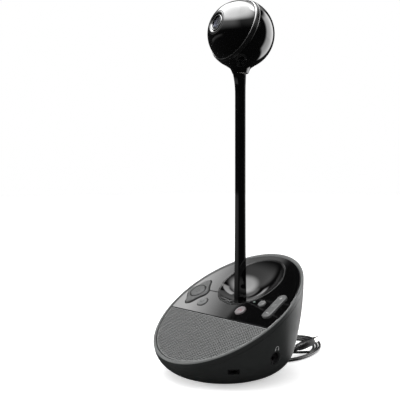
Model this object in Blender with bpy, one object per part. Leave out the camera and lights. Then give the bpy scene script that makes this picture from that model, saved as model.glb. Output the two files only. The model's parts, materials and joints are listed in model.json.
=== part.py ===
"""Desktop conference camera: a motorised pan-tilt ball camera on a tall stalk, over a speakerphone base.

The base is a round bowl whose top is cut off by a slanted face. The face carries the speaker grille,
a control panel with a direction pad, three round keys and a volume rocker, and a round dish that the
stalk rises from. The ball head pans about the stalk's axis, and the eyeball inside it tilts.

Millimetres are used below and scaled once, when a mesh is made. Frames:
  world   origin at the centre of the footprint, +Z up, the front is -Y, +X is the side with the headphone jack
  face    (u, v, n): u along +X, v up the slanted face, n out of it; parent empty "face_frame"
  head    origin at the ball's centre; parent empty "pan_axis"
  eye     origin at the ball's centre, z along the lens axis; parent empty "tilt_axis"
"""

from math import acos, asin, atan2, cos, degrees, pi, radians, sin, sqrt, tan

import bmesh
import bpy
from mathutils import Matrix, Vector
from mathutils.geometry import tessellate_polygon

for old in list(bpy.data.objects):
    bpy.data.objects.remove(old, do_unlink=True)

# ---------------------------------------------------------------- driving dimensions, mm
MM = 0.001
GAP = 0.3                     # assembly gap between touching pieces

# bowl: radius at height z is BOWL_R + BOWL_K1 (z/100) + BOWL_K2 (z/100)^2, with a rounded bottom edge
BOWL_R, BOWL_K1, BOWL_K2, BOWL_ROUND = 64.5, 34.0, -17.0, 23.0
WALL = 2.5
FOOT_Z = 2.0                  # the bowl stands this far off the table, on its rubber pad

FACE_Z = 66.7                 # height of the face plane over the origin
FACE_TILT = 31.5              # degrees
TRIM_W, TRIM_N = 3.0, -5.7    # rim trim width and depth
PANEL_TOP, PANEL_BOT = -1.0, -3.0
PANEL_W = 3.4                 # inset of the face panels from the bowl's outside
GRILLE_V = -14.2              # seam between the grille and the control panel
SEAM_V = 20.5                 # seam between the control panel and the rear deck

DISH_V, DISH_R, DISH_SPHERE, DISH_WALL = 45.0, 37.5, 49.3, 2.0

STALK_Y = 22.4                # stalk and pan axis
STALK_A, STALK_B, STALK_CH = 3.4, 5.0, 1.0   # half width, half depth, corner chamfer at the waist
STALK_WAIST, STALK_LO, STALK_HI = 190.0, 50.0, 309.2
STALK_SPREAD = 285.0          # the stalk spreads forwards above this height
STALK_WALL = 0.8

HEIGHT = 386.0                # overall height
BALL_R = 35.8
BALL_Z = HEIGHT - BALL_R
PAN_REST = -6.0               # at rest the head is turned this far towards -X, degrees
CUP_WALL, EYE_GAP, EYE_WALL = 1.0, 0.3, 1.6
OPEN_ELEV = 21.8              # elevation of the cup opening's axis
OPEN_OFF = 10.3               # the opening's plane is this far from the ball's centre
TRIM_OFF = 5.4                # the cup shell stops here and the trim ring takes over
LENS_ELEV = 15.5              # elevation of the lens at rest
EYE_COVER = 105.0             # the eyeball covers this angle about a direction EYE_LIFT above the lens
EYE_LIFT = 15.0
EYE_SPLIT = 81.0              # front and rear eyeball shells part here
LENS_HOLE = 12.4

GEAR_M, GEAR_N, PINION_N, GEAR_PA = 0.7, 24, 12, 25.0
GEAR_X0, GEAR_X1 = 20.0, 22.5
PINION_ELEV = 174.0

SPK_V, SPK_HOLE = -46.0, 28.2
PAD_U, PAD_V = -58.5, 15.6
ROCKER_U, ROCKER_V, ROCKER_HU, ROCKER_HV = 59.5, 14.8, 5.4, 17.2
ANSWER = (-37.4, 1.8, 5.8)
END = (23.2, 0.6, 5.8)
MUTE = (41.2, 15.6, 4.1)
LED = (29.6, 16.2, 1.0)

JACK_Y, JACK_Z = 0.8, 26.8
LOCK_PHI, LOCK_Z = -34.6, 18.1
DC_PHI, DC_Z = 115.0, 20.0
CABLE_Z, CABLE_R = 14.0, 1.45
SCREW_R = 36.0                # base screws stand on this radius

T = radians(FACE_TILT)
CT, ST, TT = cos(T), sin(T), tan(T)


# ---------------------------------------------------------------- materials
def material(name, colour, rough, metal):
    m = bpy.data.materials.new(name)
    m.use_nodes = True
    bsdf = m.node_tree.nodes["Principled BSDF"]
    bsdf.inputs["Base Color"].default_value = (*colour, 1.0)
    bsdf.inputs["Roughness"].default_value = rough
    bsdf.inputs["Metallic"].default_value = metal
    m.diffuse_color = (*colour, 1.0)
    return m


FINISH = {
    "satin_shell": ((0.045, 0.047, 0.047), 0.38, 0.0),
    "rim_grey": ((0.30, 0.31, 0.31), 0.35, 0.0),
    "gloss_black": ((0.006, 0.006, 0.007), 0.06, 0.0),
    "grille_grey": ((0.16, 0.165, 0.16), 0.45, 0.6),
    "cloth_black": ((0.02, 0.02, 0.02), 0.9, 0.0),
    "matte_black": ((0.02, 0.02, 0.02), 0.55, 0.0),
    "rubber_black": ((0.025, 0.025, 0.025), 0.8, 0.0),
    "key_grey": ((0.33, 0.34, 0.33), 0.35, 0.0),
    "key_red": ((0.50, 0.40, 0.41), 0.35, 0.0),
    "lamp_clear": ((0.7, 0.75, 0.72), 0.2, 0.0),
    "board_green": ((0.02, 0.13, 0.06), 0.5, 0.0),
    "steel": ((0.55, 0.55, 0.55), 0.3, 1.0),
    "ferrite": ((0.07, 0.07, 0.075), 0.5, 0.3),
    "plated": ((0.85, 0.84, 0.80), 0.15, 1.0),
    "chrome": ((0.9, 0.9, 0.9), 0.08, 1.0),
    "lens_glass": ((0.02, 0.02, 0.03), 0.02, 0.0),
    "nylon_white": ((0.75, 0.74, 0.70), 0.45, 0.0),
    "cone_paper": ((0.05, 0.05, 0.05), 0.8, 0.0),
}


# ---------------------------------------------------------------- frames
def empty(name, loc, rot_x=0.0, parent=None, rot_z=0.0):
    e = bpy.data.objects.new(name, None)
    e.location = Vector(loc) * MM
    e.rotation_euler = (radians(rot_x), 0, radians(rot_z))
    e.parent = parent
    bpy.context.scene.collection.objects.link(e)
    return e


face_frame = empty("face_frame", (0, 0, FACE_Z), FACE_TILT)
pan_axis = empty("pan_axis", (0, STALK_Y, BALL_Z), rot_z=PAN_REST)
open_frame = empty("open_frame", (0, 0, 0), 90 - OPEN_ELEV, pan_axis)
tilt_axis = empty("tilt_axis", (0, 0, 0), 90 - LENS_ELEV, pan_axis)


# ---------------------------------------------------------------- mesh helpers
def make(name, verts, faces, finish, parent=None, loc=(0, 0, 0), rot=(0, 0, 0), smooth=30, helper=False):
    """An object from local millimetre vertices; its faces are turned to point out of the closed body."""
    me = bpy.data.meshes.new(name)
    me.from_pydata([tuple(c * MM for c in v) for v in verts], [], faces)
    bm = bmesh.new()
    bm.from_mesh(me)
    bmesh.ops.recalc_face_normals(bm, faces=bm.faces)
    if bm.calc_volume(signed=True) < 0:
        bmesh.ops.reverse_faces(bm, faces=bm.faces)
    bm.to_mesh(me)
    bm.free()
    me.shade_smooth()
    me.set_sharp_from_angle(angle=radians(smooth))
    ob = bpy.data.objects.new(name, me)
    ob.location = Vector(loc) * MM
    ob.rotation_euler = tuple(radians(a) for a in rot)
    ob.parent = parent
    bpy.context.scene.collection.objects.link(ob)
    if helper:
        ob.hide_render = True
        ob.display_type = "WIRE"
    else:
        ob.data.materials.append(material(name + "_finish", *FINISH[finish]))
    return ob


def lathe(profile, seg=40):
    """Verts and faces of a profile [(r, z)...] turned about z. A closed loop off the axis, or an open one that starts and ends on it."""
    on_axis = profile[0][0] < 1e-9
    verts, faces, rows = [], [], []
    for r, z in profile:
        if r < 1e-9:
            rows.append([len(verts)] * seg)
            verts.append((0, 0, z))
        else:
            rows.append(list(range(len(verts), len(verts) + seg)))
            for i in range(seg):
                a = 2 * pi * i / seg
                verts.append((r * cos(a), r * sin(a), z))
    count = len(rows) - 1 if on_axis else len(rows)
    for k in range(count):
        p, q = rows[k], rows[(k + 1) % len(rows)]
        for i in range(seg):
            j = (i + 1) % seg
            f = [p[i], p[j], q[j], q[i]]
            f = [x for n, x in enumerate(f) if x not in f[:n]]
            if len(f) > 2:
                faces.append(f)
    return verts, faces


def rings(loops, closed=False, caps=False):
    """Skins a list of vertex loops of equal length. closed joins the last loop to the first; caps fills the ends."""
    n = len(loops[0])
    verts = [p for loop in loops for p in loop]
    faces = []
    for k in range(len(loops) if closed else len(loops) - 1):
        a, b = k * n, ((k + 1) % len(loops)) * n
        for i in range(n):
            j = (i + 1) % n
            faces.append([a + i, a + j, b + j, b + i])
    if caps:
        for k in (0, len(loops) - 1):
            pts = [Vector((p[0], p[1], 0)) for p in loops[k]]
            for tri in tessellate_polygon([pts]):
                faces.append([k * n + i for i in tri])
    return verts, faces


def prism(outline, z0, z1, holes=()):
    """A flat plate between z0 and z1 with any holes."""
    all_loops = [list(outline)] + [list(h) for h in holes]
    flat = [p for loop in all_loops for p in loop]
    n = len(flat)
    verts = [(x, y, z0) for x, y in flat] + [(x, y, z1) for x, y in flat]
    faces = []
    for tri in tessellate_polygon([[Vector((x, y, 0)) for x, y in loop] for loop in all_loops]):
        faces.append(list(tri))
        faces.append([i + n for i in tri])
    start = 0
    for loop in all_loops:
        m = len(loop)
        for i in range(m):
            j = (i + 1) % m
            faces.append([start + i, start + j, n + start + j, n + start + i])
        start += m
    return verts, faces


def loft_plate(top, bottom, z_top, z_bot):
    """A plate whose outline changes a little between its two faces."""
    return rings([[(x, y, z_top) for x, y in top], [(x, y, z_bot) for x, y in bottom]], caps=True)


def circle(cx, cy, r, seg=32, a0=0.0, a1=360.0, ends=False):
    steps = seg if not ends else seg + 1
    return [(cx + r * cos(radians(a0 + (a1 - a0) * i / seg)), cy + r * sin(radians(a0 + (a1 - a0) * i / seg)))
            for i in range(steps)]


def rect(cx, cy, hx, hy):
    return [(cx - hx, cy - hy), (cx + hx, cy - hy), (cx + hx, cy + hy), (cx - hx, cy + hy)]


def cham_rect(hx, hy, c):
    return [(hx - c, -hy), (hx, c - hy), (hx, hy - c), (hx - c, hy), (c - hx, hy), (-hx, hy - c), (-hx, c - hy), (c - hx, -hy)]


def capsule(cx, cy, hx, hy, seg=16):
    """Upright capsule outline with half width hx and half length hy."""
    pts = [(cx + hx * cos(pi * i / seg), cy + hy - hx + hx * sin(pi * i / seg)) for i in range(seg + 1)]
    pts += [(cx - hx * cos(pi * i / seg), cy - hy + hx - hx * sin(pi * i / seg)) for i in range(seg + 1)]
    return pts


def block(x0, x1, y0, y1, z0, z1):
    return prism([(x0, y0), (x1, y0), (x1, y1), (x0, y1)], z0, z1)


def joined(*parts):
    verts, faces = [], []
    for v, f in parts:
        faces += [[i + len(verts) for i in face] for face in f]
        verts += v
    return verts, faces


def boolean(target, other, op="DIFFERENCE"):
    m = target.modifiers.new(op.lower(), "BOOLEAN")
    m.operation = op
    m.solver = "EXACT"
    m.object = other


def moved(vf, dx=0.0, dy=0.0, dz=0.0):
    v, f = vf
    return [(x + dx, y + dy, z + dz) for x, y, z in v], f


def tube(path, radius, seg=8):
    """A round bar along a path of points, with flat ends."""
    pts = [Vector(p) for p in path]
    tang = []
    for i in range(len(pts)):
        a, b = pts[max(i - 1, 0)], pts[min(i + 1, len(pts) - 1)]
        tang.append((b - a).normalized())
    side = tang[0].cross(Vector((0, 0, 1)))
    if side.length < 1e-6:
        side = Vector((1, 0, 0))
    side.normalize()
    loops = []
    for p, t in zip(pts, tang):
        side = (side - t * side.dot(t)).normalized()
        up = t.cross(side)
        loops.append([tuple(p + side * (radius * cos(2 * pi * i / seg)) + up * (radius * sin(2 * pi * i / seg))) for i in range(seg)])
    v, f = rings(loops)
    f.append(list(range(seg))[::-1])
    f.append([len(v) - seg + i for i in range(seg)])
    return v, f


# ---------------------------------------------------------------- bowl geometry
def bowl_radius(z):
    r = BOWL_R + BOWL_K1 * z / 100 + BOWL_K2 * (z / 100) ** 2
    if z < BOWL_ROUND:
        r -= BOWL_ROUND - sqrt(BOWL_ROUND ** 2 - (BOWL_ROUND - z) ** 2)
    return r


def bowl_inner(z, wall=WALL, most=4.5):
    slope = (bowl_radius(z + 0.2) - bowl_radius(z - 0.2)) / 0.4
    return bowl_radius(z) - min(wall * sqrt(1 + slope * slope), most)


def face_z(y, n):
    return FACE_Z + y * TT + n / CT


def edge_radius(phi, n):
    """Radius at which the plane offset n from the face meets the bowl's outside, at azimuth phi."""
    lo, hi = 30.0, 120.0
    for _ in range(60):
        r = (lo + hi) / 2
        z = face_z(r * sin(phi), n)
        if r < bowl_radius(max(z, 0.0)):
            lo = r
        else:
            hi = r
    return (lo + hi) / 2


def edge_uv(phi, n, w):
    """That point, moved in by w towards the bowl's axis, in face coordinates (u, v)."""
    r = edge_radius(phi, n) - w
    x, y = r * cos(phi), r * sin(phi)
    return x, (y + n * ST) / CT


def phi_at_v(v, n, w):
    """Azimuth between -90 and 90 degrees at which the edge crosses the line v."""
    lo, hi = -pi / 2, pi / 2
    for _ in range(50):
        mid = (lo + hi) / 2
        if edge_uv(mid, n, w)[1] < v:
            lo = mid
        else:
            hi = mid
    return (lo + hi) / 2


def edge_arc(phi0, phi1, n, w, steps):
    return [edge_uv(phi0 + (phi1 - phi0) * i / steps, n, w) for i in range(steps + 1)]


# ================================================================ base
SEG = 48

# ---- bowl-shaped housing: outer skin, top edge, inner skin, bottom edge, each as loops round the axis
top_n = TRIM_N - GAP
loops = []
OUTER = (0.0, 0.05, 0.12, 0.21, 0.34, 0.52, 0.75, 1.0)
INNER = (1.0, 0.6, 0.3, 0.12, 0.0)
for s in OUTER:
    loop = []
    for i in range(SEG):
        a = 2 * pi * i / SEG
        r = edge_radius(a, top_n)
        z = FOOT_Z + (face_z(r * sin(a), top_n) - FOOT_Z) * s
        r = r if s == 1.0 else bowl_radius(z)
        loop.append((r * cos(a), r * sin(a), z))
    loops.append(loop)
for s in INNER:
    loop = []
    for i in range(SEG):
        a = 2 * pi * i / SEG
        r = edge_radius(a, top_n) - WALL - 0.1
        zt = face_z(r * sin(a), top_n)
        z = FOOT_Z + (zt - FOOT_Z) * s
        r = r if s == 1.0 else bowl_inner(z)
        loop.append((r * cos(a), r * sin(a), z))
    loops.append(loop)
v, f = rings(loops, closed=True)
base_housing = make("base_housing", v, f, "satin_shell")

# screw posts with a rib to the wall, joined to the housing
POST_R, POST_TOP = 3.2, 14.0
for k, deg in enumerate((45, 135, 225, 315)):
    post = make(f"post_{k}", *prism(circle(SCREW_R, 0, POST_R, 10), 4.8, POST_TOP), None, rot=(0, 0, deg), helper=True)
    boolean(base_housing, post, "UNION")
    side = [(SCREW_R, 6.8), (59.0, 6.8), (65.2, 13.0), (SCREW_R, 13.0)]
    rib_v = [(x, y, z) for y in (-1.0, 1.0) for x, z in side]
    rib_f = [[0, 1, 2, 3], [4, 5, 6, 7]] + [[i, (i + 1) % 4, (i + 1) % 4 + 4, i + 4] for i in range(4)]
    rib = make(f"rib_{k}", rib_v, rib_f, None, rot=(0, 0, deg), helper=True)
    boolean(base_housing, rib, "UNION")
for k, deg in enumerate((45, 135, 225, 315)):
    hole = make(f"post_hole_{k}", *prism(circle(SCREW_R, 0, 1.75, 8), 4.0, 12.0), None, rot=(0, 0, deg), helper=True)
    boolean(base_housing, hole)

# openings: headphone jack on +X, power inlet and cable at the back, lock slot near the front
jack_cut = make("jack_cut", *prism(circle(0, 0, 6.0, 20), 60, 80), None, loc=(0, JACK_Y, JACK_Z), rot=(0, 90, 0), helper=True)
boolean(base_housing, jack_cut)
dc_cut = make("dc_cut", *prism(circle(0, 0, 4.1, 14), 55, 80), None, loc=(0, 0, DC_Z), rot=(0, 90, DC_PHI), helper=True)
boolean(base_housing, dc_cut)
cable_cut = make("cable_cut", *prism(circle(0, 0, 3.6, 14), 55, 80), None, loc=(0, 0, CABLE_Z), rot=(0, 90, 90), helper=True)
boolean(base_housing, cable_cut)
lock_cut = make("lock_cut", *prism(capsule(0, 0, 1.6, 3.6, 8), 60, 80), None, loc=(0, 0, LOCK_Z), rot=(0, 90, LOCK_PHI), helper=True)
boolean(base_housing, lock_cut)

# ---- rim trim: a rounded band that finishes the bowl's edge
SECTION = [(0, TRIM_N), (0, -1.2), (0.4, -0.4), (1.2, 0.0), (2.3, 0.0), (TRIM_W, -0.7), (TRIM_W, TRIM_N)]
loops = []
for w, n in SECTION:
    loops.append([(*edge_uv(2 * pi * i / 56, n, w), n) for i in range(56)])
v, f = rings(loops, closed=True)
make("rim_trim", v, f, "rim_grey", face_frame)


# ---- face panels
def grille_outline(n, v_top, w=PANEL_W, steps=30):
    a = phi_at_v(v_top, n, w)
    return edge_arc(a, -pi - a, n, w, steps)


make("speaker_grille", *loft_plate(grille_outline(-1.2, GRILLE_V - GAP), grille_outline(-2.6, GRILLE_V - GAP), -1.2, -2.6),
     "grille_grey", face_frame)
make("grille_cloth", *loft_plate(grille_outline(-3.0, GRILLE_V - 1.0, 4.2), grille_outline(-3.5, GRILLE_V - 1.0, 4.2), -3.0, -3.5),
     "cloth_black", face_frame)

HOLE_R = DISH_R + 1.3         # opening for the dish in the panels


def panel_outline(n):
    v0, v1 = GRILLE_V + 0.1, SEAM_V - 0.15
    a0, a1 = phi_at_v(v0, n, PANEL_W), phi_at_v(v1, n, PANEL_W)
    right = edge_arc(a0, a1, n, PANEL_W, 5)
    left = edge_arc(pi - a1, pi - a0, n, PANEL_W, 5)
    cut = degrees(asin((v1 - DISH_V) / HOLE_R))
    return right + circle(0, DISH_V, HOLE_R, 12, cut, -180 - cut, ends=True) + left


def deck_outline(n):
    v0 = SEAM_V + 0.15
    a0 = phi_at_v(v0, n, PANEL_W)
    outer = edge_arc(a0, pi - a0, n, PANEL_W, 26)
    cut = degrees(asin((v0 - DISH_V) / HOLE_R))
    return outer + circle(0, DISH_V, HOLE_R, 24, 180 - cut, cut, ends=True)


def pad_outline(grow=0.0, seg=32):
    """Four-lobed pad: a rounded cross, longer along v."""
    pts = []
    for i in range(seg):
        a = 2 * pi * i / seg
        lobe = 0.5 + 0.5 * cos(4 * a)
        r = 12.2 + lobe ** 1.4 * 2.6
        stretch = 1.0 + 0.33 * sin(a) ** 2 * (0.4 + 0.6 * lobe)
        r = r * stretch + grow
        pts.append((PAD_U + r * cos(a), PAD_V + r * sin(a)))
    return pts


control_panel = make("control_panel", *loft_plate(panel_outline(PANEL_TOP), panel_outline(PANEL_BOT), PANEL_TOP, PANEL_BOT),
                     "gloss_black", face_frame)
rear_deck = make("rear_deck", *loft_plate(deck_outline(PANEL_TOP), deck_outline(PANEL_BOT), PANEL_TOP, PANEL_BOT),
                 "gloss_black", face_frame)
key_cut = make("key_cut", *joined(
    prism(pad_outline(0.45), -6, 4),
    prism(capsule(ROCKER_U, ROCKER_V, ROCKER_HU + 0.45, ROCKER_HV + 0.45, 8), -6, 4),
    prism(circle(ANSWER[0], ANSWER[1], ANSWER[2] + 0.35, 16), -6, 4),
    prism(circle(END[0], END[1], END[2] + 0.35, 16), -6, 4),
    prism(circle(MUTE[0], MUTE[1], MUTE[2] + 0.35, 16), -6, 4),
    prism(circle(LED[0], LED[1], LED[2] + 0.3, 8), -6, 4)), None, face_frame, helper=True)
boolean(control_panel, key_cut)
deck_cut = make("deck_cut", *joined(
    prism(pad_outline(0.45), -6, 4),
    prism(capsule(ROCKER_U, ROCKER_V, ROCKER_HU + 0.45, ROCKER_HV + 0.45, 8), -6, 4)), None, face_frame, helper=True)
boolean(rear_deck, deck_cut)

# ---- dish that the stalk rises from: a spherical bowl, turned about the face's normal
lip = PANEL_TOP
sc = lip + sqrt(DISH_SPHERE ** 2 - DISH_R ** 2)       # sphere centre, above the face
out_r = DISH_SPHERE + DISH_WALL


def on_sphere(r, rad):
    return sc - sqrt(rad * rad - r * r)


profile = [(0.0, on_sphere(0, DISH_SPHERE))]
profile += [(DISH_R * k / 5, on_sphere(DISH_R * k / 5, DISH_SPHERE)) for k in range(1, 6)]
profile += [(DISH_R + 1.0, lip), (DISH_R + 1.0, -2.6)]
edge_r = sqrt(out_r ** 2 - (sc + 3.4) ** 2)
profile += [(edge_r, -3.4)]
profile += [(edge_r * (1 - k / 5), on_sphere(edge_r * (1 - k / 5), out_r)) for k in range(1, 5)] + [(0.0, on_sphere(0, out_r))]
cradle_dish = make("cradle_dish", *lathe(profile, 36), "gloss_black", face_frame, loc=(0, DISH_V, 0))
dish_cut = make("dish_cut", *block(-4.35, 4.35, STALK_Y - 6.3, STALK_Y + 6.3, 50, 80), None, helper=True)
boolean(cradle_dish, dish_cut)

# ---- socket under the dish that the stalk plugs into
v, f = rings([[(x, y, 40.8) for x, y in rect(0, STALK_Y, 5.9, 7.8)],
              [(x, y, 65.3) for x, y in rect(0, STALK_Y, 5.9, 7.8)],
              [(x, y, 65.3) for x, y in rect(0, STALK_Y, 4.35, 6.3)],
              [(x, y, 43.6) for x, y in rect(0, STALK_Y, 4.35, 6.3)]], caps=True)
make("stalk_socket", v, f, "matte_black")

# ---- inner frame: a plate across the bowl under the face, which carries the speaker and the boards
frame_top, frame_bot = -10.0, -12.0
full = lambda n: [edge_uv(2 * pi * i / 36, n, 3.9) for i in range(36)]
inner_frame = make("inner_frame", *loft_plate(full(frame_top), full(frame_bot), frame_top, frame_bot), "matte_black", face_frame)
frame_cut = make("frame_cut", *joined(
    prism(circle(0, SPK_V, SPK_HOLE, 24), -16, -6),
    prism(circle(0, DISH_V, 35.0, 24), -16, -6)), None, face_frame, helper=True)
boolean(inner_frame, frame_cut)
frame_cut2 = make("frame_cut2", *block(-7.5, 7.5, 4.0, 22.0, -16, -6), None, face_frame, helper=True)
boolean(inner_frame, frame_cut2)

# ---- button board: U-shaped, round the dish
ub = [(-66, -10), (66, -10), (66, 34)]
cut = degrees(asin((34 - DISH_V) / 35.2))
ub += circle(0, DISH_V, 35.2, 12, cut, -180 - cut, ends=True) + [(-66, 34)]
make("button_board", *prism(ub, -9.3, -7.9), "board_green", face_frame)

# ---- loudspeaker
basket = [(30.0, -9.6), (30.0, -8.2), (28.0, -8.2), (28.0, -5.2), (26.4, -5.2), (26.4, -9.0), (12.5, -18.5), (7.5, -18.5),
          (7.5, -20.0), (13.5, -20.0), (27.4, -10.4), (27.4, -9.6)]
make("speaker_basket", *lathe(basket, 24), "matte_black", face_frame, loc=(0, SPK_V, 0))
cone = [(0.0, -10.6), (5.0, -11.6), (7.2, -13.6), (23.2, -5.7), (25.6, -5.7), (25.6, -6.5), (23.0, -6.5), (6.6, -14.4),
        (6.6, -22.5), (5.9, -22.5), (5.9, -13.3), (5.0, -12.5), (0.0, -11.4)]
make("speaker_cone", *lathe(cone, 20), "cone_paper", face_frame, loc=(0, SPK_V, 0))
magnet = [(0.0, -27.0), (14.0, -27.0), (14.0, -20.3), (7.5, -20.3), (7.5, -25.0), (5.2, -25.0), (5.2, -20.6), (0.0, -20.6)]
make("speaker_magnet", *lathe(magnet, 18), "ferrite", face_frame, loc=(0, SPK_V, 0))

# ---- microphone capsule behind the grille, and the lamp's light pipe
make("mic_capsule", *lathe([(0, -9.4), (3.0, -9.4), (3.0, -5.6), (2.6, -5.2), (0, -5.2)], 12), "plated", face_frame, loc=(-44.0, -24.0, 0))
make("led_light_pipe", *lathe([(0, -7.5), (LED[2], -7.5), (LED[2], -1.0), (0, -0.8)], 8), "lamp_clear", face_frame, loc=(LED[0], LED[1], 0))


# ---- keys
def round_key(name, spec, finish):
    u, vv, r = spec
    prof = [(0, 0.35), (r - 0.5, 0.1), (r, -0.5), (r, -3.6), (r + 0.9, -3.6), (r + 0.9, -4.4), (2.2, -4.4), (2.2, -6.9), (0, -6.9)]
    return make(name, *lathe(prof, 16), finish, face_frame, loc=(u, vv, 0))


round_key("answer_button", ANSWER, "key_grey")
round_key("end_button", END, "key_red")
round_key("mute_button", MUTE, "key_grey")

ROCKER_N = -3.6               # height of the rocker's pivot line
cap_out = capsule(0, 0, ROCKER_HU, ROCKER_HV, 10)
cap_in = capsule(0, 0, ROCKER_HU - 0.8, ROCKER_HV - 0.8, 10)
v, f = rings([[(x, y, 0.5 - ROCKER_N) for x, y in cap_in], [(x, y, -0.1 - ROCKER_N) for x, y in cap_out],
              [(x, y, -4.2 - ROCKER_N) for x, y in cap_out]], caps=True)
make("volume_rocker", v, f, "key_grey", face_frame, loc=(ROCKER_U, ROCKER_V, ROCKER_N))

PAD_N = -4.2                  # height of the pad's two pivot lines
pad = [(x - PAD_U, y - PAD_V) for x, y in pad_outline(0.0)]
pad_top = [(x * 0.945, y * 0.955) for x, y in pad]
v, f = rings([[(x, y, 0.5 - PAD_N) for x, y in pad_top], [(x, y, -0.1 - PAD_N) for x, y in pad],
              [(x, y, -3.8 - PAD_N) for x, y in pad]], caps=True)
dpad_cap = make("dpad_cap", v, f, "key_grey", face_frame, loc=(PAD_U, PAD_V, PAD_N))
pad_pocket = make("pad_pocket", *prism(circle(0, 0, 9.7, 20), -2.9, 6), None, face_frame, loc=(PAD_U, PAD_V, 0), helper=True)
boolean(dpad_cap, pad_pocket)
disc = [(0, 1.0), (8.6, 0.75), (9.3, 0.1), (9.3, -2.2), (0, -2.2)]
make("dpad_centre_button", *lathe(disc, 20), "key_grey", face_frame, loc=(PAD_U, PAD_V, 0))
make("dpad_carrier", *lathe([(6.5, -0.9), (9.0, -0.9), (9.0, -2.4), (6.5, -2.4)], 18), "nylon_white", face_frame, loc=(PAD_U, PAD_V, PAD_N))

# ---- bottom plate, rubber ring, screws, ballast, main board
plate_holes = [circle(SCREW_R * cos(radians(d)), SCREW_R * sin(radians(d)), 1.75, 8) for d in (45, 135, 225, 315)]
make("base_plate", *prism(circle(0, 0, 46.5, 32), 2.2, 4.4, plate_holes), "matte_black")
make("rubber_foot_pad", *lathe([(0, 0), (45.2, 0.0), (45.5, 0.4), (45.5, 1.9), (40.0, 1.9), (40.0, 0.8), (0, 0.8)], 32), "rubber_black")
for k, d in enumerate((45, 135, 225, 315)):
    prof = [(0, 1.1), (2.6, 1.2), (2.6, 1.9), (1.4, 1.9), (1.4, 10.6), (0, 11.4)]
    make(f"base_screw_{k + 1}", *lathe(prof, 8), "steel", loc=(SCREW_R * cos(radians(d)), SCREW_R * sin(radians(d)), 0))
make("ballast_weight", *lathe([(6, 4.8), (31.0, 4.8), (31.0, 8.8), (6, 8.8)], 28), "steel")
make("main_board", *block(-20, 20, -10, 42, 11.6, 13.2), "board_green")

# ---- sockets in the wall
jack = [(0, 57.5), (1.8, 57.5), (1.8, 69.2), (3.2, 70.4), (5.6, 70.4), (5.6, 58.5), (4.4, 58.5), (4.4, 54.5), (0, 54.5)]
make("headphone_jack", *lathe(jack, 18), "matte_black", loc=(0, JACK_Y, JACK_Z), rot=(0, 90, 0))
dc = [(0, 54.0), (3.7, 54.0), (3.7, 69.2), (2.7, 69.2), (2.7, 59.0), (0.8, 59.0), (0.8, 67.5), (0, 67.8)]
make("dc_power_jack", *lathe(dc, 14), "matte_black", loc=(0, 0, DC_Z), rot=(0, 90, DC_PHI))

# ---- captive cable: out of the back, three loops on the table, and a type A plug resting on them
relief = [(1.75, 54.6), (4.6, 54.6), (4.6, 56.0), (3.2, 56.0), (3.2, 68.0), (2.3, 79.0), (1.75, 79.0)]
make("cable_strain_relief", *lathe(relief, 14), "rubber_black", loc=(0, 0, CABLE_Z), rot=(0, 90, 90))

COIL_C = Vector((-18.0, 118.0, 0.0))
ALONG = Vector((-0.4512, 0.8924, 0.0))
ACROSS = Vector((0.8924, 0.4512, 0.0))


def coil(turn, z=1.6):
    """A point on the coil: turn 0 is the inner loop's start, and each whole turn is one loop further out."""
    th = radians(112.0) - 2 * pi * turn
    t = min(max(turn, 0.0), 2.9)
    a, p, c = 46.5 + 9.2 * t * 0.79, 28.0 + 3.55 * t * 0.79, -5.4 + 2.4 * t * 0.79
    q = COIL_C + ALONG * (c + a * cos(th)) + ACROSS * (p * sin(th))
    return Vector((q.x, q.y, z))


def local(a, p, z):
    q = COIL_C + ALONG * a + ACROSS * p
    return Vector((q.x, q.y, z))


def smooth_path(points, per=5):
    """Catmull-Rom curve through the points."""
    pts = [points[0] * 2 - points[1]] + points + [points[-1] * 2 - points[-2]]
    out = []
    for i in range(1, len(pts) - 2):
        p0, p1, p2, p3 = pts[i - 1:i + 3]
        for k in range(per):
            t = k / per
            out.append(0.5 * ((2 * p1) + (p2 - p0) * t + (2 * p0 - 5 * p1 + 4 * p2 - p3) * t * t + (3 * p1 - p0 - 3 * p2 + p3) * t ** 3))
    out.append(pts[-2])
    return out


PLUG_A = Vector((11.5, 92.0, 8.2))
PLUG_D = (Vector((7.3, 138.6, 14.0)) - PLUG_A).normalized()
TURNS = 2.62
lead_in = [Vector((0, 52.0, CABLE_Z)), Vector((0, 70.0, CABLE_Z)), Vector((0, 81.0, CABLE_Z - 0.6)), Vector((1.5, 89.0, 9.5)), Vector((4.5, 96.0, 4.4))]
loops_mid = [coil(k / 24) for k in range(1, int(TURNS * 24) + 1)]
end_a = 46.5 + 9.2 * TURNS * 0.79
lead_out = [local(-45.0, -21.5, 5.3), local(-49.5, -13.0, 6.6), local(-49.5, -3.0, 7.4), local(-45.5, 6.0, 7.8),
            PLUG_A + PLUG_D * 2.0]
path = smooth_path(lead_in + loops_mid[:1], 3)[:-1] + loops_mid[:-1] + smooth_path([loops_mid[-1]] + lead_out, 3)
make("usb_cable", *tube(path, CABLE_R, 6), "rubber_black")

plug = empty("plug_frame", PLUG_A)
plug.rotation_mode = "QUATERNION"
z_axis = PLUG_D
x_axis = (Vector((0, 0, 1)).cross(z_axis)).normalized()
x_axis = (x_axis * cos(radians(-18)) + z_axis.cross(x_axis) * sin(radians(-18))).normalized()
y_axis = z_axis.cross(x_axis)
plug.rotation_quaternion = Matrix((x_axis, y_axis, z_axis)).transposed().to_quaternion()
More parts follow.
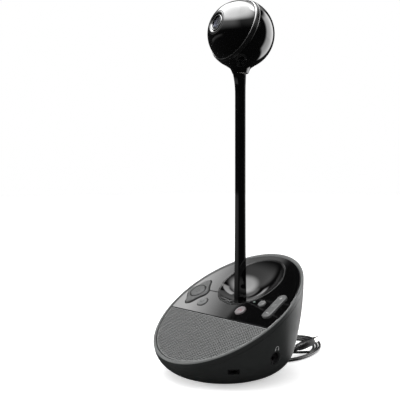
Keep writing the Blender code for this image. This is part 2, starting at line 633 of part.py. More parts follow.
# overmould: a strain-relief neck, then a body that widens to the plug's shoulders
body_loops = []
for z, hx, hy in ((2.4, 2.4, 2.2), (9.0, 2.9, 2.6), (10.5, 4.4, 3.1), (13.0, 6.3, 3.9), (20.0, 7.4, 4.2), (31.0, 7.8, 4.2), (33.5, 7.4, 3.8)):
    body_loops.append([(hx * (abs(cos(a)) ** 0.7) * (1 if cos(a) > 0 else -1), hy * (abs(sin(a)) ** 0.7) * (1 if sin(a) > 0 else -1), z)
                       for a in [2 * pi * (i + 0.5) / 16 for i in range(16)]])
make("usb_plug_body", *rings(body_loops, caps=True), "rubber_black", plug)
shell_out, shell_in = rect(0, 0, 6.0, 2.25), rect(0, 0, 5.6, 1.9)
v, f = rings([[(x, y, 33.8) for x, y in shell_out], [(x, y, 46.0) for x, y in shell_out],
              [(x, y, 46.0) for x, y in shell_in], [(x, y, 36.0) for x, y in shell_in]], caps=True)
make("usb_plug_shell", v, f, "plated", plug)


# ================================================================ stalk
def stalk_section(z, inset=0.0):
    """The stalk's section at height z: wider towards the foot, and spreading forwards under the head."""
    k = 1.0 + 0.17 * ((STALK_WAIST - min(max(z, 75.0), STALK_WAIST)) / (STALK_WAIST - 75.0)) ** 2
    t = 0.0 if inset else max(0.0, (z - STALK_SPREAD) / (STALK_HI - STALK_SPREAD)) ** 2.5
    a, front, rear = STALK_A * k + 0.4 * t - inset, STALK_B * k + 3.0 * t - inset, STALK_B * k + 0.5 * t - inset
    ch = 0.6 if inset else STALK_CH * k
    return [(x, y + (rear - front) / 2, z) for x, y in cham_rect(a, (front + rear) / 2, ch)]


levels = (STALK_LO, 75.0, 105.0, 145.0, 190.0, 240.0, STALK_SPREAD, 294.0, 302.0, STALK_HI)
outer = [stalk_section(z) for z in levels]
inner = [stalk_section(z, STALK_WALL) for z in reversed(levels)]
make("stalk_tube", *rings(outer + inner, closed=True), "gloss_black", loc=(0, STALK_Y, 0))
make("stalk_lower_plug", *prism(cham_rect(2.6, 4.4, 0.5), 44.0, 58.4), "nylon_white", loc=(0, STALK_Y, 0))
make("stalk_wiring", *tube([(0, 0, 58.9), (0, 0, 120), (0, 0, 200), (0, 0, 282.4)], 1.2, 8), "rubber_black", loc=(0, STALK_Y, 0))

# ================================================================ head, fixed part
make("pan_gearmotor", *lathe([(0, 283.0), (1.9, 283.0), (2.2, 283.4), (2.2, 303.4), (0, 303.4)], 12), "steel", loc=(0, STALK_Y, 0))
make("neck_spigot", *lathe([(1.15, 305.4), (2.3, 305.4), (2.3, 309.5), (5.35, 309.5), (5.35, 311.0), (1.15, 311.0)], 20), "nylon_white", loc=(0, STALK_Y, 0))

# ================================================================ head, panning part (origin at the ball's centre)
hub_z = -BALL_Z
make("pan_shaft_hub", *lathe([(0, 303.8 + hub_z), (1.0, 303.8 + hub_z), (1.0, 311.4 + hub_z), (5.35, 311.4 + hub_z), (5.35, 313.9 + hub_z), (0, 313.9 + hub_z)], 20),
     "steel", pan_axis)

R_IN = BALL_R - CUP_WALL
SKIN = 48


def arc(rad, a0, a1, steps):
    """Profile points on a sphere of radius rad between polar angles, degrees from the axis."""
    return [(rad * sin(radians(a0 + (a1 - a0) * i / steps)), rad * cos(radians(a0 + (a1 - a0) * i / steps))) for i in range(steps + 1)]


a_out, a_in = degrees(acos(TRIM_OFF / BALL_R)), degrees(acos(TRIM_OFF / R_IN))
outer = arc(BALL_R, 180, a_out, 11)
inner = arc(R_IN, a_in, 180, 11)
outer[0], inner[-1] = (0.0, -BALL_R), (0.0, -R_IN)
head_cup = make("head_cup", *lathe(outer + inner, SKIN), "gloss_black", open_frame)
flare = [(5.7, -40.7), (8.5, -40.7), (9.4, -38.2), (10.5, -36.0), (12.6, -34.2), (16.0, -31.9), (15.8, -31.3), (10.9, -33.35), (5.7, -34.7)]
neck = make("neck_flare", *lathe(flare, 24), None, pan_axis, helper=True)
boolean(head_cup, neck, "UNION")
cup_cut = make("cup_cut", *joined(
    moved(prism(circle(0, 0, 5.7, 24), -42, -32)),), None, pan_axis, helper=True)
boolean(head_cup, cup_cut)

TRIM_LOW = TRIM_OFF + GAP
ring_prof = []
a0, a1 = degrees(acos(OPEN_OFF / BALL_R)), degrees(acos(TRIM_LOW / BALL_R))
b0, b1 = degrees(acos(OPEN_OFF / R_IN)), degrees(acos(TRIM_LOW / R_IN))
ring_prof = arc(BALL_R, a1, a0 + 1.0, 2) + [(BALL_R * sin(radians(a0)) - 0.25, OPEN_OFF), (R_IN * sin(radians(b0)) + 0.3, OPEN_OFF)] + arc(R_IN, b0 + 0.6, b1, 2)
make("head_trim_ring", *lathe(ring_prof, SKIN), "gloss_black", open_frame)

board = make("head_board", *block(-15, 15, -12, 12, 25.3, 26.7), "board_green", pan_axis, rot=(90 - 208.0, 0, 0))


def involute(a):
    return tan(a) - a


def gear_outline(teeth, module, pressure, addendum, dedendum, backlash, phase):
    rp = teeth * module / 2
    rb = rp * cos(radians(pressure))
    ra, rr = rp + addendum, rp - dedendum
    half = pi / (2 * teeth) - backlash / (2 * rp) + involute(radians(pressure))
    start = max(rb, rr)
    flank = [(start + (ra - start) * k / 2) for k in range(3)]
    angle = lambda r: half - involute(acos(min(1.0, rb / r)))
    pts = []
    for k in range(teeth):
        c = radians(phase) + 2 * pi * k / teeth
        row = [(rr, -angle(start))] + [(r, -angle(r)) for r in flank] + [(r, angle(r)) for r in reversed(flank)] + [(rr, angle(start))]
        pts += [(r * cos(c + a), r * sin(c + a)) for r, a in row]
    return pts


# the fixed gear stands still on the cup; the pinion on the eyeball's motor rolls round it
centre = (GEAR_N + PINION_N) * GEAR_M / 2 + 0.05
add, ded = 0.8 * GEAR_M, 1.1 * GEAR_M
pe = radians(PINION_ELEV)
pin_y, pin_z = -centre * cos(pe), centre * sin(pe)      # the pinion's axis in the head frame
line = degrees(atan2(pin_z, pin_y))                      # direction of the line of centres in the y, z plane
sun = gear_outline(GEAR_N, GEAR_M, GEAR_PA, add, ded, 0.14, 0.0)
planet = gear_outline(PINION_N, GEAR_M, GEAR_PA, add, ded, 0.14, 180.0 / PINION_N)


def along_x(name, vf, finish, parent, loc, turn):
    """Places a piece made about local z so that local z lies along +X, and local x points at the angle turn in the y, z plane."""
    ob = make(name, *vf, finish, parent, loc)
    c, s = cos(radians(turn)), sin(radians(turn))
    basis = Matrix(((0, 0, 1), (c, -s, 0), (s, c, 0)))
    ob.rotation_mode = "QUATERNION"
    ob.rotation_quaternion = basis.to_quaternion()
    return ob


fixed_gear = along_x("tilt_fixed_gear", prism(sun, GEAR_X0, GEAR_X1), "nylon_white", pan_axis, (0, 0, 0), line)
shaft = make("gear_shaft", *prism(circle(0, 0, 3.0, 12), GEAR_X1 - 1.0, 34.35), None, pan_axis, rot=(0, 90, 0), helper=True)
boolean(fixed_gear, shaft, "UNION")
make("tilt_pivot_pin", *lathe([(0, 28.0), (2.5, 28.0), (2.5, 34.1), (2.2, 34.35), (0, 34.35)], 12), "steel", pan_axis, rot=(0, -90, 0))

# ================================================================ eyeball, tilting part (z along the lens)
EYE_R = R_IN - EYE_GAP
EYE_RI = EYE_R - EYE_WALL
h_out, h_in = degrees(asin(LENS_HOLE / EYE_R)), degrees(asin(LENS_HOLE / EYE_RI))
front = arc(EYE_R, h_out, EYE_SPLIT, 8) + arc(EYE_RI, EYE_SPLIT, h_in, 5)
make("eye_front_shell", *lathe(front, SKIN), "gloss_black", tilt_axis)


def cover_angle(psi):
    """How far back from the lens axis the eyeball reaches, at angle psi round it (0 is up)."""
    a, b = cos(radians(EYE_LIFT)), sin(radians(EYE_LIFT)) * cos(psi)
    return degrees(atan2(b, a) + acos(cos(radians(EYE_COVER)) / sqrt(a * a + b * b)))


loops = []
for rad, steps in ((EYE_R, range(0, 5)), (EYE_RI, range(4, -1, -1))):
    for k in steps:
        loop = []
        for i in range(SKIN):
            psi = 2 * pi * i / SKIN
            lo = EYE_SPLIT + 0.55
            pol = radians(lo + (cover_angle(psi) - lo) * k / 4)
            loop.append((rad * sin(pol) * sin(psi), rad * sin(pol) * cos(psi), rad * cos(pol)))
        loops.append(loop)
eye_rear = make("eye_rear_shell", *rings(loops, closed=True), "gloss_black", tilt_axis)
bore_r = make("bore_r", *prism(circle(0, 0, 3.3, 16), 28, 36), None, pan_axis, rot=(0, 90, 0), helper=True)
bore_l = make("bore_l", *prism(circle(0, 0, 2.8, 16), 28, 36), None, pan_axis, rot=(0, -90, 0), helper=True)
boolean(eye_rear, bore_r)
boolean(eye_rear, bore_l)

bezel = [(12.1, 27.0), (12.1, 31.8), (11.7, 32.25), (11.3, 32.25), (10.9, 31.8), (10.9, 31.2), (8.6, 31.2), (8.6, 27.0)]
make("lens_bezel", *lathe(bezel, 32), "matte_black", tilt_axis)
make("lens_ring", *lathe([(7.5, 29.6), (8.3, 29.6), (8.3, 31.7), (8.1, 31.9), (7.7, 31.9), (7.5, 31.7)], 32), "chrome", tilt_axis)
make("cover_glass", *lathe([(0, 30.0), (7.2, 30.0), (7.2, 30.7), (0, 31.1)], 24), "lens_glass", tilt_axis)
make("lens_barrel", *lathe([(4.6, 11.0), (6.4, 11.0), (6.4, 29.2), (4.6, 29.2)], 20), "matte_black", tilt_axis)
make("lens_element", *lathe([(0, 24.6), (4.3, 24.6), (4.3, 26.4), (0, 27.6)], 16), "lens_glass", tilt_axis)
make("camera_board", *block(-12, 12, -12, 12, 8.0, 9.4), "board_green", tilt_axis)
chassis = make("eye_chassis", *block(-16, 18.4, -14, 14, 6.0, 7.5), "steel", tilt_axis)
arm = make("chassis_arm", *block(17.0, 18.4, 0.0, 12.6, -16.0, 6.6), None, tilt_axis, helper=True)
boolean(chassis, arm, "UNION")
back = radians(PINION_ELEV - LENS_ELEV)
my, mz = centre * sin(back), centre * cos(back)          # the pinion's axis in the eye frame
arm_hole = make("arm_hole", *prism(circle(0, 0, 1.6, 10), 12, 24), None, tilt_axis, (0, my, mz), (0, 90, 0), helper=True)
boolean(chassis, arm_hole)
make("tilt_motor", *lathe([(0, -3.0), (1.5, -3.0), (1.5, -2.0), (4.3, -2.0), (4.3, 16.0), (0, 16.0)], 14), "steel", tilt_axis, (0, my, mz), (0, 90, 0))

pinion = along_x("tilt_pinion", prism(planet, GEAR_X0, GEAR_X1), "nylon_white", pan_axis, (0, pin_y, pin_z), line)
stub = make("pinion_shaft", *prism(circle(0, 0, 1.1, 8), 16.5, GEAR_X0 + 1.0), None, pan_axis, (0, pin_y, pin_z), (0, 90, 0), helper=True)
boolean(pinion, stub, "UNION")
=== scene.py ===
import json
import math
from math import acos, asin, atan2, cos, degrees, pi, radians, sin, sqrt, tan

import bmesh
import bpy
from mathutils import Matrix, Vector
from mathutils.geometry import delaunay_2d_cdt, tessellate_polygon


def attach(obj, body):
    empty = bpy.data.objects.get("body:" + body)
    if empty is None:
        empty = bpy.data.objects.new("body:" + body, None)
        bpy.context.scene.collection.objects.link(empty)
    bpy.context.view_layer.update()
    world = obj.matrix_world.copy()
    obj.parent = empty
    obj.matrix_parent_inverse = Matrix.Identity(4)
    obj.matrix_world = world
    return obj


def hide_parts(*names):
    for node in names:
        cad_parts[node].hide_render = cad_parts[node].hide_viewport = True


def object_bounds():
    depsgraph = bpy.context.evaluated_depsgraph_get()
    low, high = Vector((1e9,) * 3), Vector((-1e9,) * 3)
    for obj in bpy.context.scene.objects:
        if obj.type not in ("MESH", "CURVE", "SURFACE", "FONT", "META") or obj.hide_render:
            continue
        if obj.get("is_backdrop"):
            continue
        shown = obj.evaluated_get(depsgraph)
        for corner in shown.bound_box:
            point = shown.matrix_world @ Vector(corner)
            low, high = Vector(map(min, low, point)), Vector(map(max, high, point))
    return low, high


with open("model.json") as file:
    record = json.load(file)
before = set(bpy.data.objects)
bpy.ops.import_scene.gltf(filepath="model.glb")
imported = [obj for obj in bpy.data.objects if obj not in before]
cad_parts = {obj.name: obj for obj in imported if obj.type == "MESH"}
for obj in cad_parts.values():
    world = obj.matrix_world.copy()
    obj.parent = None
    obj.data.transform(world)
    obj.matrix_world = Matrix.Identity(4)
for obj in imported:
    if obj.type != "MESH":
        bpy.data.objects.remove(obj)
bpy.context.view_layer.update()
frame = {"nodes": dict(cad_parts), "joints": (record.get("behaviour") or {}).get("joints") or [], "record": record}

MM = 0.001
JOINT = {j["name"]: j for j in frame["joints"]}

# ---------------------------------------------------------------- the frame's own places
BALL = Vector(JOINT["pan"]["pos_m"]) * 1000.0
STALK_Y = BALL.y
TA = JOINT["tilt"]["axis"]
PAN_REST = degrees(atan2(-TA[1], -TA[0]))
LENS_AXIS = JOINT["focus_slide"]["axis"]
LENS_ELEV = degrees(asin(LENS_AXIS[2]))
FACE_N = JOINT["speaker_travel"]["axis"]
FACE_TILT = degrees(atan2(-FACE_N[1], FACE_N[2]))
T = radians(FACE_TILT)
CT, ST, TT = cos(T), sin(T), tan(T)
FOOT_Z = 2.0

# shapes of the shell, in millimetres, as in the CAD
BOWL_R, BOWL_K1, BOWL_K2, BOWL_ROUND = 64.5, 34.0, -17.0, 24.5
FACE_Z = 66.7
TRIM_W, TRIM_N = 3.0, -5.7
PANEL_TOP, PANEL_BOT, PANEL_W = -1.0, -3.0, 3.4
GRILLE_V, SEAM_V = -14.2, 20.5
DISH_V, DISH_R, DISH_SPHERE, DISH_WALL = 45.0, 37.5, 49.3, 2.0
STALK_A, STALK_B, STALK_CH = 3.4, 5.0, 1.0
STALK_WAIST, STALK_LO, STALK_HI, STALK_SPREAD, STALK_WALL = 190.0, 50.0, 309.2, 285.0, 0.8
BALL_R, CUP_WALL, EYE_GAP, EYE_WALL = 35.78, 0.98, 0.3, 1.6
OPEN_ELEV, OPEN_OFF, TRIM_OFF = 21.8, 10.3, 5.4
EYE_COVER, EYE_LIFT, EYE_SPLIT, LENS_HOLE = 105.0, 15.0, 81.0, 12.4
PAD_U, PAD_V = -58.5, 15.6
ROCKER_U, ROCKER_V, ROCKER_HU, ROCKER_HV = 59.5, 14.8, 5.4, 17.2
ANSWER, END, MUTE, LED = (-37.4, 1.8, 5.8), (23.2, 0.6, 5.8), (41.2, 15.6, 4.1), (29.6, 16.2, 1.0)
JACK_Y, JACK_Z = 0.8, 26.8
LOCK_PHI, LOCK_Z = -34.6, 18.1
DC_PHI, DC_Z = 115.0, 20.0
CABLE_Z, CABLE_R = 14.0, 1.45

FACE = Matrix.Translation((0, 0, FACE_Z)) @ Matrix.Rotation(T, 4, "X")
HEAD = Matrix.Translation(BALL) @ Matrix.Rotation(radians(PAN_REST), 4, "Z")
OPEN = HEAD @ Matrix.Rotation(radians(90 - OPEN_ELEV), 4, "X")
EYE = HEAD @ Matrix.Rotation(radians(90 - LENS_ELEV), 4, "X")


# ================================================================ materials
def node(nt, kind, **values):
    n = nt.nodes.new(kind)
    for k, v in values.items():
        setattr(n, k, v)
    return n


def surface(name, colour, rough, metal=0.0, grain=0.0, grain_size=0.25, mottle=0.0, smudge=0.0, smudge_size=12.0,
            coat=0.0, peel=0.0, sheen=0.0, specular=0.5, brushed=None, ior=1.5, emission=None):
    """A procedural finish. Sizes are in millimetres: fine moulded grain, colour mottle, roughness smudges, orange peel."""
    m = bpy.data.materials.new(name)
    m.use_nodes = True
    nt = m.node_tree
    bsdf = nt.nodes["Principled BSDF"]
    bsdf.inputs["Base Color"].default_value = (*colour, 1.0)
    bsdf.inputs["Roughness"].default_value = rough
    bsdf.inputs["Metallic"].default_value = metal
    bsdf.inputs["IOR"].default_value = ior
    bsdf.inputs["Specular IOR Level"].default_value = specular
    bsdf.inputs["Coat Weight"].default_value = coat
    bsdf.inputs["Coat Roughness"].default_value = 0.04
    bsdf.inputs["Sheen Weight"].default_value = sheen
    m.diffuse_color = (*colour, 1.0)
    coord = node(nt, "ShaderNodeTexCoord")
    where = coord.outputs["Object"]
    if brushed:
        mp = node(nt, "ShaderNodeMapping")
        mp.inputs["Scale"].default_value = brushed
        nt.links.new(where, mp.inputs["Vector"])
        where = mp.outputs["Vector"]
    if mottle:
        tex = node(nt, "ShaderNodeTexNoise")
        tex.inputs["Scale"].default_value = 1000.0 / 9.0
        tex.inputs["Detail"].default_value = 4.0
        ramp = node(nt, "ShaderNodeMapRange")
        ramp.inputs["From Min"].default_value, ramp.inputs["From Max"].default_value = 0.3, 0.7
        ramp.inputs["To Min"].default_value, ramp.inputs["To Max"].default_value = 1.0 - mottle, 1.0 + mottle
        mix = node(nt, "ShaderNodeVectorMath", operation="SCALE")
        mix.inputs[0].default_value = colour
        nt.links.new(where, tex.inputs["Vector"])
        nt.links.new(tex.outputs["Fac"], ramp.inputs["Value"])
        nt.links.new(ramp.outputs["Result"], mix.inputs["Scale"])
        nt.links.new(mix.outputs["Vector"], bsdf.inputs["Base Color"])
    if smudge:
        tex = node(nt, "ShaderNodeTexNoise")
        tex.inputs["Scale"].default_value = 1000.0 / smudge_size
        tex.inputs["Detail"].default_value = 3.0
        ramp = node(nt, "ShaderNodeMapRange")
        ramp.inputs["From Min"].default_value, ramp.inputs["From Max"].default_value = 0.35, 0.65
        ramp.inputs["To Min"].default_value, ramp.inputs["To Max"].default_value = max(0.0, rough - smudge), rough + smudge
        nt.links.new(where, tex.inputs["Vector"])
        nt.links.new(tex.outputs["Fac"], ramp.inputs["Value"])
        nt.links.new(ramp.outputs["Result"], bsdf.inputs["Roughness"])
    last = None
    for amount, size, dist in ((grain, grain_size, 0.02), (peel, 3.0, 0.02)):
        if not amount:
            continue
        tex = node(nt, "ShaderNodeTexNoise")
        tex.inputs["Scale"].default_value = 1000.0 / size
        tex.inputs["Detail"].default_value = 2.0
        bump = node(nt, "ShaderNodeBump")
        bump.inputs["Strength"].default_value = amount
        bump.inputs["Distance"].default_value = dist * MM
        nt.links.new(where, tex.inputs["Vector"])
        nt.links.new(tex.outputs["Fac"], bump.inputs["Height"])
        if last:
            nt.links.new(last.outputs["Normal"], bump.inputs["Normal"])
        last = bump
    if last:
        nt.links.new(last.outputs["Normal"], bsdf.inputs["Normal"])
    if emission:
        bsdf.inputs["Emission Color"].default_value = (*emission[0], 1.0)
        bsdf.inputs["Emission Strength"].default_value = emission[1]
    return m


def clear_glass(name, tint, reflect=1.0):
    """Thin coated glass: a mirror that fades with angle over a tinted clear layer, with faint coating bands."""
    m = bpy.data.materials.new(name)
    m.use_nodes = True
    nt = m.node_tree
    nt.nodes.remove(nt.nodes["Principled BSDF"])
    out = nt.nodes["Material Output"]
    clear = node(nt, "ShaderNodeBsdfTransparent")
    clear.inputs["Color"].default_value = (*tint, 1.0)
    gloss = node(nt, "ShaderNodeBsdfGlossy")
    gloss.inputs["Roughness"].default_value = 0.01
    fres = node(nt, "ShaderNodeFresnel")
    fres.inputs["IOR"].default_value = 1.5
    coord = node(nt, "ShaderNodeTexCoord")
    tex = node(nt, "ShaderNodeTexNoise")
    tex.inputs["Scale"].default_value = 90.0
    ramp = node(nt, "ShaderNodeValToRGB")
    ramp.color_ramp.elements[0].color = (0.55, 0.53, 0.62, 1.0)
    ramp.color_ramp.elements[1].color = (0.60, 0.66, 0.61, 1.0)
    nt.links.new(coord.outputs["Object"], tex.inputs["Vector"])
    nt.links.new(tex.outputs["Fac"], ramp.inputs["Fac"])
    nt.links.new(ramp.outputs["Color"], gloss.inputs["Color"])
    mix = node(nt, "ShaderNodeMixShader")
    nt.links.new(fres.outputs["Fac"], mix.inputs["Fac"])
    nt.links.new(clear.outputs["BSDF"], mix.inputs[1])
    nt.links.new(gloss.outputs["BSDF"], mix.inputs[2])
    nt.links.new(mix.outputs["Shader"], out.inputs["Surface"])
    m.diffuse_color = (*tint, 1.0)
    return m


def board_finish(name):
    """Green solder mask with faint copper tracks under it."""
    m = surface(name, (0.012, 0.10, 0.045), 0.32, coat=0.3, smudge=0.06)
    nt = m.node_tree
    bsdf = nt.nodes["Principled BSDF"]
    coord = node(nt, "ShaderNodeTexCoord")
    brick = node(nt, "ShaderNodeTexBrick")
    brick.inputs["Scale"].default_value = 320.0
    brick.inputs["Mortar Size"].default_value = 0.035
    brick.inputs["Color1"].default_value = (0.010, 0.085, 0.04, 1.0)
    brick.inputs["Color2"].default_value = (0.014, 0.11, 0.05, 1.0)
    brick.inputs["Mortar"].default_value = (0.05, 0.20, 0.08, 1.0)
    nt.links.new(coord.outputs["Object"], brick.inputs["Vector"])
    nt.links.new(brick.outputs["Color"], bsdf.inputs["Base Color"])
    return m


def cloth_finish(name):
    m = surface(name, (0.014, 0.014, 0.015), 0.95, sheen=0.3)
    nt = m.node_tree
    bsdf = nt.nodes["Principled BSDF"]
    coord = node(nt, "ShaderNodeTexCoord")
    bumps = []
    for axis in ("X", "Y"):
        wave = node(nt, "ShaderNodeTexWave", bands_direction=axis)
        wave.inputs["Scale"].default_value = 520.0
        nt.links.new(coord.outputs["Object"], wave.inputs["Vector"])
        bumps.append(wave.outputs["Fac"])
    top = node(nt, "ShaderNodeMath", operation="MAXIMUM")
    nt.links.new(bumps[0], top.inputs[0])
    nt.links.new(bumps[1], top.inputs[1])
    bump = node(nt, "ShaderNodeBump")
    bump.inputs["Distance"].default_value = 0.0001
    nt.links.new(top.outputs["Value"], bump.inputs["Height"])
    nt.links.new(bump.outputs["Normal"], bsdf.inputs["Normal"])
    return m


MAT = {
    "shell_satin": surface("satin_shell", (0.0215, 0.0230, 0.0228), 0.40, grain=0.35, grain_size=0.30, mottle=0.06, smudge=0.03, specular=0.26),
    # lighter grey for the rim's rounded crown: a painted highlight along its top
    "rim_grey": surface("rim_band_painted_highlight", (0.115, 0.118, 0.117), 0.42, grain=0.15, grain_size=0.25, smudge=0.03, mottle=0.03, specular=0.1),
    "gloss_black": surface("piano_black", (0.0012, 0.0012, 0.0013), 0.04, smudge=0.015, smudge_size=16.0, peel=0.05),
    "grille_grey": surface("grille_paint", (0.128, 0.130, 0.129), 0.45, grain=0.3, grain_size=0.15, mottle=0.05, specular=0.12),
    "cloth_black": cloth_finish("speaker_cloth"),
    "inner_black": surface("moulded_black", (0.005, 0.005, 0.0055), 0.5, grain=0.3, mottle=0.1, smudge=0.05, specular=0.2),
    "rubber_black": surface("soft_black", (0.006, 0.006, 0.0065), 0.3, grain=0.25, grain_size=0.4, mottle=0.15, smudge=0.06, smudge_size=7.0, specular=0.35),
    "key_grey": surface("key_satin", (0.125, 0.127, 0.127), 0.32, grain=0.25, grain_size=0.2, mottle=0.04, smudge=0.03, specular=0.15),
    "key_red": surface("key_end", (0.150, 0.136, 0.140), 0.32, grain=0.25, grain_size=0.2, mottle=0.05, smudge=0.03, specular=0.15),
    "lamp_clear": surface("light_pipe", (0.13, 0.18, 0.155), 0.25, specular=0.3, smudge=0.02),
    "board_green": board_finish("solder_mask"),
    "steel": surface("plain_steel", (0.50, 0.50, 0.50), 0.30, metal=1.0, grain=0.2, grain_size=0.2, smudge=0.08, brushed=(1, 1, 9)),
    "ferrite": surface("ferrite_grey", (0.05, 0.05, 0.055), 0.55, metal=0.3, grain=0.5, mottle=0.2),
    "plated": surface("nickel_plate", (0.80, 0.79, 0.76), 0.17, metal=1.0, smudge=0.05, smudge_size=3.0, brushed=(1, 1, 6)),
    "chrome_ring": surface("polished_ring", (0.20, 0.20, 0.20), 0.18, metal=1.0, smudge=0.03),
    "lens_glass": clear_glass("coated_glass", (0.30, 0.30, 0.33)),
    "nylon_white": surface("natural_nylon", (0.68, 0.67, 0.62), 0.45, grain=0.2, mottle=0.04, smudge=0.04),
    "cone_paper": surface("coated_cone", (0.04, 0.04, 0.04), 0.8, grain=0.8, grain_size=0.8, mottle=0.3),
}
RING_BLACK = surface("ring_black", (0.003, 0.003, 0.0032), 0.17, smudge=0.02, specular=1.0)
DISH_BLACK = surface("dish_black", (0.0012, 0.0012, 0.0013), 0.04, smudge=0.015, smudge_size=16.0, peel=0.05, specular=0.26)
ROCKER_GREY = surface("rocker_satin", (0.078, 0.079, 0.079), 0.32, grain=0.25, grain_size=0.2, mottle=0.04, smudge=0.03, specular=0.15)
PAD_GREY = surface("pad_satin", (0.072, 0.073, 0.073), 0.34, grain=0.25, grain_size=0.2, mottle=0.04, smudge=0.03, specular=0.12)
DARK_MARK = surface("dark_print", (0.035, 0.035, 0.037), 0.5, grain=0.1, mottle=0.1)
LIGHT_MARK = surface("light_print", (0.34, 0.345, 0.345), 0.45, grain=0.1, mottle=0.05)
GREY_MARK = surface("grey_print", (0.17, 0.175, 0.175), 0.45, grain=0.1, mottle=0.05)
RED_MARK = surface("red_print", (0.20, 0.045, 0.055), 0.4, grain=0.1, mottle=0.05)
CONTACT_GOLD = surface("gold_contact", (0.83, 0.62, 0.24), 0.2, metal=1.0, smudge=0.05)

SLOT_OF = {row["node"]: row["material_slot"] for row in frame["record"]["subparts"]}
BODY_OF = {n: b for b, ns in frame["record"]["behaviour"]["bodies"].items() for n in ns}
for name, ob in frame["nodes"].items():
    ob.data.materials.clear()
    ob.data.materials.append(MAT[SLOT_OF[name]])
    ob.data.shade_smooth()
    ob.data.set_sharp_from_angle(angle=radians(28))


# ================================================================ mesh helpers, in millimetres
def build(name, verts, faces, place=None, smooth=32.0, mats=None, face_mats=None, join=True):
    me = bpy.data.meshes.new(name)
    me.from_pydata([tuple(v) for v in verts], [], [tuple(f) for f in faces])
    bm = bmesh.new()
    bm.from_mesh(me)
    if face_mats:
        bm.faces.ensure_lookup_table()
        for f, k in zip(bm.faces, face_mats):
            f.material_index = k
    bmesh.ops.recalc_face_normals(bm, faces=bm.faces)
    if join and bm.calc_volume(signed=True) < 0:
        bmesh.ops.reverse_faces(bm, faces=bm.faces)
    bm.to_mesh(me)
    bm.free()
    if place is not None:
        me.transform(place)
    me.transform(Matrix.Scale(MM, 4))
    ob = bpy.data.objects.new(name, me)
    bpy.context.scene.collection.objects.link(ob)
    for m in mats or []:
        me.materials.append(m)
    finish_shade(ob, smooth)
    return ob


def finish_shade(ob, angle):
    ob.data.shade_smooth()
    ob.data.set_sharp_from_angle(angle=radians(angle))


def bake(ob, smooth=32.0):
    """Turns the object's modifiers into its mesh."""
    dg = bpy.context.evaluated_depsgraph_get()
    mats = list(ob.data.materials)
    me = bpy.data.meshes.new_from_object(ob.evaluated_get(dg))
    ob.modifiers.clear()
    ob.data = me
    if not len(me.materials):
        for m in mats:
            me.materials.append(m)
    finish_shade(ob, smooth)


def cut(ob, *tools, smooth=32.0, op="DIFFERENCE"):
    for t in tools:
        m = ob.modifiers.new("cut", "BOOLEAN")
        m.operation, m.solver, m.object = op, "EXACT", t
    bpy.context.view_layer.update()
    bake(ob, smooth)
    for t in tools:
        bpy.data.objects.remove(t, do_unlink=True)
    return ob


def wear(ob, cad, slot=None, body=None):
    """Parents the piece to its body's empty, hides the CAD nodes it stands for and gives it their finish if it has
    none.
    """
    cad = [cad] if isinstance(cad, str) else list(cad or [])
    body = body or BODY_OF[cad[0]]
    slot = slot or (SLOT_OF[cad[0]] if cad else None)
    if not len(ob.data.materials):
        ob.data.materials.append(MAT[slot])
    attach(ob, body)
    if cad:
        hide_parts(*cad)
    return ob


def lathe(profile, seg=96, closed=None):
    on_axis = profile[0][0] < 1e-9
    verts, faces, rows = [], [], []
    for r, z in profile:
        if r < 1e-9:
            rows.append([len(verts)] * seg)
            verts.append((0, 0, z))
        else:
            rows.append(list(range(len(verts), len(verts) + seg)))
            for i in range(seg):
                a = 2 * pi * i / seg
                verts.append((r * cos(a), r * sin(a), z))
    count = len(rows) - 1 if on_axis else len(rows)
    for k in range(count):
        p, q = rows[k], rows[(k + 1) % len(rows)]
        for i in range(seg):
            j = (i + 1) % seg
            f = [p[i], p[j], q[j], q[i]]
            f = [x for n, x in enumerate(f) if x not in f[:n]]
            if len(f) > 2:
                faces.append(f)
    return verts, faces


def rounded(profile, radius, steps=4, closed=True):
    """A profile with its corners rounded off. radius is one number, or one for each point (0 leaves it sharp)."""
    n = len(profile)
    out = []
    for i in range(n):
        r = radius[i] if isinstance(radius, (list, tuple)) else radius
        if r <= 0 or (not closed and i in (0, n - 1)):
            out.append(profile[i])
            continue
        p = Vector(profile[i])
        a, b = Vector(profile[i - 1]) - p, Vector(profile[(i + 1) % n]) - p
        d = min(r, a.length * 0.48, b.length * 0.48)
        a, b = p + a.normalized() * d, p + b.normalized() * d
        for k in range(steps + 1):
            t = k / steps
            q = a * (1 - t) ** 2 + p * 2 * t * (1 - t) + b * t * t
            out.append((q.x, q.y))
    return out


def rings(loops, closed=False, caps=False):
    n = len(loops[0])
    verts = [p for loop in loops for p in loop]
    faces = []
    for k in range(len(loops) if closed else len(loops) - 1):
        a, b = k * n, ((k + 1) % len(loops)) * n
        for i in range(n):
            j = (i + 1) % n
            faces.append([a + i, a + j, b + j, b + i])
    if caps:
        for k in (0, len(loops) - 1):
            faces.append([k * n + i for i in range(n)])
    return verts, faces


def tri_caps(loops):
    """As rings, but its two flat ends are split into triangles."""
    v, f = rings(loops)
    n = len(loops[0])
    for k in (0, len(loops) - 1):
        pts = [Vector((p[0], p[1], 0)) for p in loops[k]]
        for tri in tessellate_polygon([pts]):
            f.append([k * n + i for i in tri])
    return v, f


def stack(outline, levels):
    """A plate or cap from an outline function: levels are (grow, z) pairs."""
    return tri_caps([[(x, y, z) for x, y in outline(g)] for g, z in levels])


def circle(cx, cy, r, seg=48, a0=0.0, a1=360.0, ends=False):
    steps = seg if not ends else seg + 1
    return [(cx + r * cos(radians(a0 + (a1 - a0) * i / seg)), cy + r * sin(radians(a0 + (a1 - a0) * i / seg))) for i in range(steps)]


def capsule(cx, cy, hx, hy, seg=24):
    pts = [(cx + hx * cos(pi * i / seg), cy + hy - hx + hx * sin(pi * i / seg)) for i in range(seg + 1)]
    pts += [(cx - hx * cos(pi * i / seg), cy - hy + hx - hx * sin(pi * i / seg)) for i in range(seg + 1)]
    return pts


def joined(*parts):
    verts, faces = [], []
    for v, f in parts:
        faces += [[i + len(verts) for i in face] for face in f]
        verts += v
    return verts, faces


